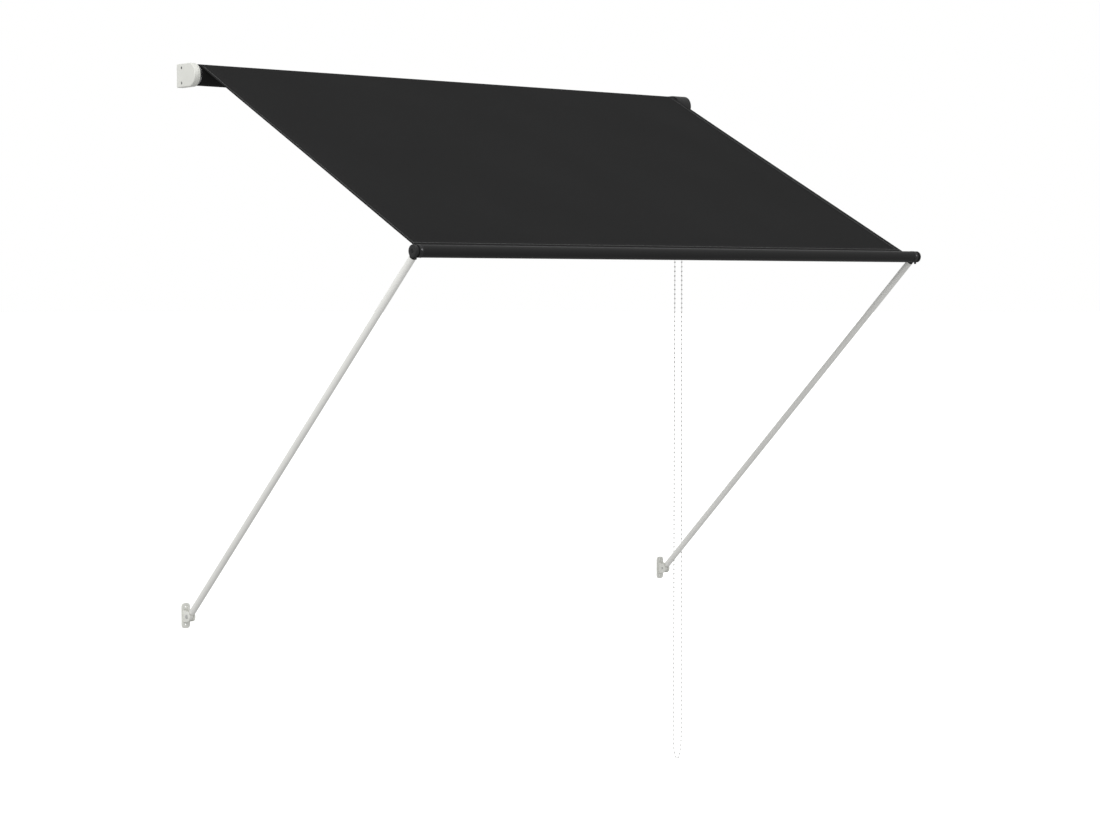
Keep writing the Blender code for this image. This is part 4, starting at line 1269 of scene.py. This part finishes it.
def add_bead(bm, centre, radius, bands=8, sides=14):
    """One round bead."""
    rings = []
    for band in range(bands + 1):
        tilt = math.pi * band / bands
        flat, height = radius * math.sin(tilt), radius * math.cos(tilt)
        ring = []
        for step in range(sides if 0 < band < bands else 1):
            turn = 2 * math.pi * step / sides
            ring.append(bm.verts.new(centre + Vector((flat * math.cos(turn), flat * math.sin(turn), height))))
        rings.append(ring)
    for ring, other in zip(rings, rings[1:], strict=False):
        for step in range(sides):
            following = step + 1
            corners = [ring[step % len(ring)], ring[following % len(ring)]]
            corners += [other[following % len(other)], other[step % len(other)]]
            bm.faces.new(list(dict.fromkeys(corners)))


def bead_chain(settings):
    """Round beads moulded on a thin string, hanging in one long loop."""
    parts = 4
    fine, length = smooth_route(CHAIN_ROUTE, settings.pitch / parts)
    bm = bmesh.new()
    side = Vector((1.0, 0.0, 0.0))
    rings = []
    for index, place in enumerate(fine):
        way = (fine[min(index + 1, len(fine) - 1)] - fine[max(index - 1, 0)]).normalized()
        across = way.cross(side).normalized()
        ring = []
        for step in range(8):
            turn = 2 * math.pi * step / 8
            out = side * math.cos(turn) + across * math.sin(turn)
            ring.append(bm.verts.new(place + out * settings.string / 2))
        rings.append(ring)
    for ring, other in zip(rings, rings[1:], strict=False):
        for step in range(8):
            following = (step + 1) % 8
            bm.faces.new((ring[step], ring[following], other[following], other[step]))
    bm.faces.new(rings[0])
    bm.faces.new(rings[-1])
    for place in fine[parts // 2 :: parts]:
        add_bead(bm, place, settings.bead / 2)
    bmesh.ops.recalc_face_normals(bm, faces=bm.faces)
    chain = new_piece("ball_chain", bm, "bead_plastic", "root", ["bead_chain"], 60.0)


class AWNING_OT_chain(bpy.types.Operator):
    """Build the hanging bead chain"""

    bl_idname = "awning.chain"
    bl_label = "Bead chain"

    def execute(self, context):
        bead_chain(context.scene.awning_chain)
        return {"FINISHED"}


# ---------------------------------------------------------------- stage
def studio_sky(strength):
    """A pale background that lights softly, more from above than from below."""
    world = bpy.data.worlds.new("studio_sky")
    world.use_nodes = True
    nodes, links = world.node_tree.nodes, world.node_tree.links
    shown = nodes["Background"]
    shown.inputs["Color"].default_value = (1.0, 1.0, 0.998, 1.0)
    shown.inputs["Strength"].default_value = 1.0
    glow = nodes.new("ShaderNodeBackground")
    places = nodes.new("ShaderNodeTexCoord")
    parts = nodes.new("ShaderNodeSeparateXYZ")
    grade = nodes.new("ShaderNodeMapRange")
    grade.inputs["From Min"].default_value = -0.8
    grade.inputs["From Max"].default_value = 0.15
    grade.inputs["To Min"].default_value = strength * 0.60
    grade.inputs["To Max"].default_value = strength
    path = nodes.new("ShaderNodeLightPath")
    mix = nodes.new("ShaderNodeMixShader")
    links.new(places.outputs["Generated"], parts.inputs[0])
    links.new(parts.outputs[2], grade.inputs["Value"])
    links.new(grade.outputs[0], glow.inputs["Strength"])
    links.new(path.outputs["Is Camera Ray"], mix.inputs[0])
    links.new(glow.outputs[0], mix.inputs[1])
    links.new(shown.outputs[0], mix.inputs[2])
    links.new(mix.outputs[0], nodes["World Output"].inputs["Surface"])
    bpy.context.scene.world = world


def soft_light(name, place, target, size, power):
    """A large square light aimed at a place."""
    light = bpy.data.lights.new(name, "AREA")
    light.shape = "SQUARE"
    light.size = size
    light.energy = power
    obj = bpy.data.objects.new(name, light)
    obj.location = place
    obj.rotation_euler = (Vector(target) - Vector(place)).to_track_quat("-Z", "Y").to_euler()
    bpy.context.scene.collection.objects.link(obj)


class AWNING_OT_stage(bpy.types.Operator):
    """Set the camera, the pale floor and the soft studio light"""

    bl_idname = "awning.stage"
    bl_label = "Stage"

    def execute(self, context):
        settings = context.scene.awning_stage
        camera = bpy.data.cameras.new("camera")
        camera.sensor_width = 36.0
        camera.lens = settings.lens
        camera.clip_end = 500.0
        obj = bpy.data.objects.new("camera", camera)
        obj.location = (-2.803, -4.686, -0.472)
        obj.rotation_euler = Euler((math.radians(86.974), 0.0, math.radians(-39.672)))
        context.scene.collection.objects.link(obj)
        context.scene.camera = obj
        context.scene.view_settings.view_transform = "Standard"

        floor_mesh = bpy.data.meshes.new("floor")
        bm = bmesh.new()
        bmesh.ops.create_circle(bm, cap_ends=True, segments=96, radius=160.0)
        bm.to_mesh(floor_mesh)
        bm.free()
        floor = bpy.data.objects.new("floor", floor_mesh)
        floor.location = (0.7, -0.4, CAD_BOX[0].z - settings.floor_drop)
        context.scene.collection.objects.link(floor)
        floor.visible_diffuse = False
        floor.visible_glossy = False
        wire = Wiring("floor_paint", 0.9)
        wire.color(wire.shades(wire.noise(wire.place(), 0.8, 2.0), (0.90, 0.90, 0.895), (0.93, 0.93, 0.925)))
        wire.shader.inputs["Emission Color"].default_value = (1.0, 1.0, 0.998, 1.0)
        wire.shader.inputs["Emission Strength"].default_value = 0.55
        floor_mesh.materials.append(wire.material)

        studio_sky(settings.fill)
        middle = (0.6, -0.4, -0.5)
        soft_light("key_light", (-4.2, -2.6, 1.4), middle, 2.6, settings.key)
        soft_light("top_light", (0.6, -2.6, 3.4), middle, 3.0, settings.key * 0.40)
        return {"FINISHED"}


# ---------------------------------------------------------------- panel and registration
STEPS = ("stage", "chain", "cloth", "roller", "end_housings", "wall_brackets", "arms", "front_bar")


class AWNING_PT_builder(bpy.types.Panel):
    """Buttons that build the awning piece by piece"""

    bl_idname = "AWNING_PT_builder"
    bl_label = "Awning"
    bl_space_type = "VIEW_3D"
    bl_region_type = "UI"
    bl_category = "Awning"

    def draw(self, context):
        for step in STEPS:
            self.layout.operator(f"awning.{step}")
        for group in ("awning_cloth", "awning_frame", "awning_chain", "awning_stage"):
            settings = getattr(context.scene, group)
            box_layout = self.layout.box()
            for name in settings.__annotations__:
                box_layout.prop(settings, name)


CLASSES = (
    AwningClothSettings,
    AwningFrameSettings,
    AwningChainSettings,
    AwningStageSettings,
    AWNING_OT_stage,
    AWNING_OT_chain,
    AWNING_OT_cloth,
    AWNING_OT_roller,
    AWNING_OT_end_housings,
    AWNING_OT_wall_brackets,
    AWNING_OT_arms,
    AWNING_OT_front_bar,
    AWNING_PT_builder,
)


def register():
    for cls in CLASSES:
        bpy.utils.register_class(cls)
    bpy.types.Scene.awning_cloth = PointerProperty(type=AwningClothSettings)
    bpy.types.Scene.awning_frame = PointerProperty(type=AwningFrameSettings)
    bpy.types.Scene.awning_chain = PointerProperty(type=AwningChainSettings)
    bpy.types.Scene.awning_stage = PointerProperty(type=AwningStageSettings)


def unregister():
    del bpy.types.Scene.awning_stage
    del bpy.types.Scene.awning_chain
    del bpy.types.Scene.awning_frame
    del bpy.types.Scene.awning_cloth
    for cls in reversed(CLASSES):
        bpy.utils.unregister_class(cls)


def main():
    register()
    for step in STEPS:
        getattr(bpy.ops.awning, step)()


if __name__ == "__main__":
    main()
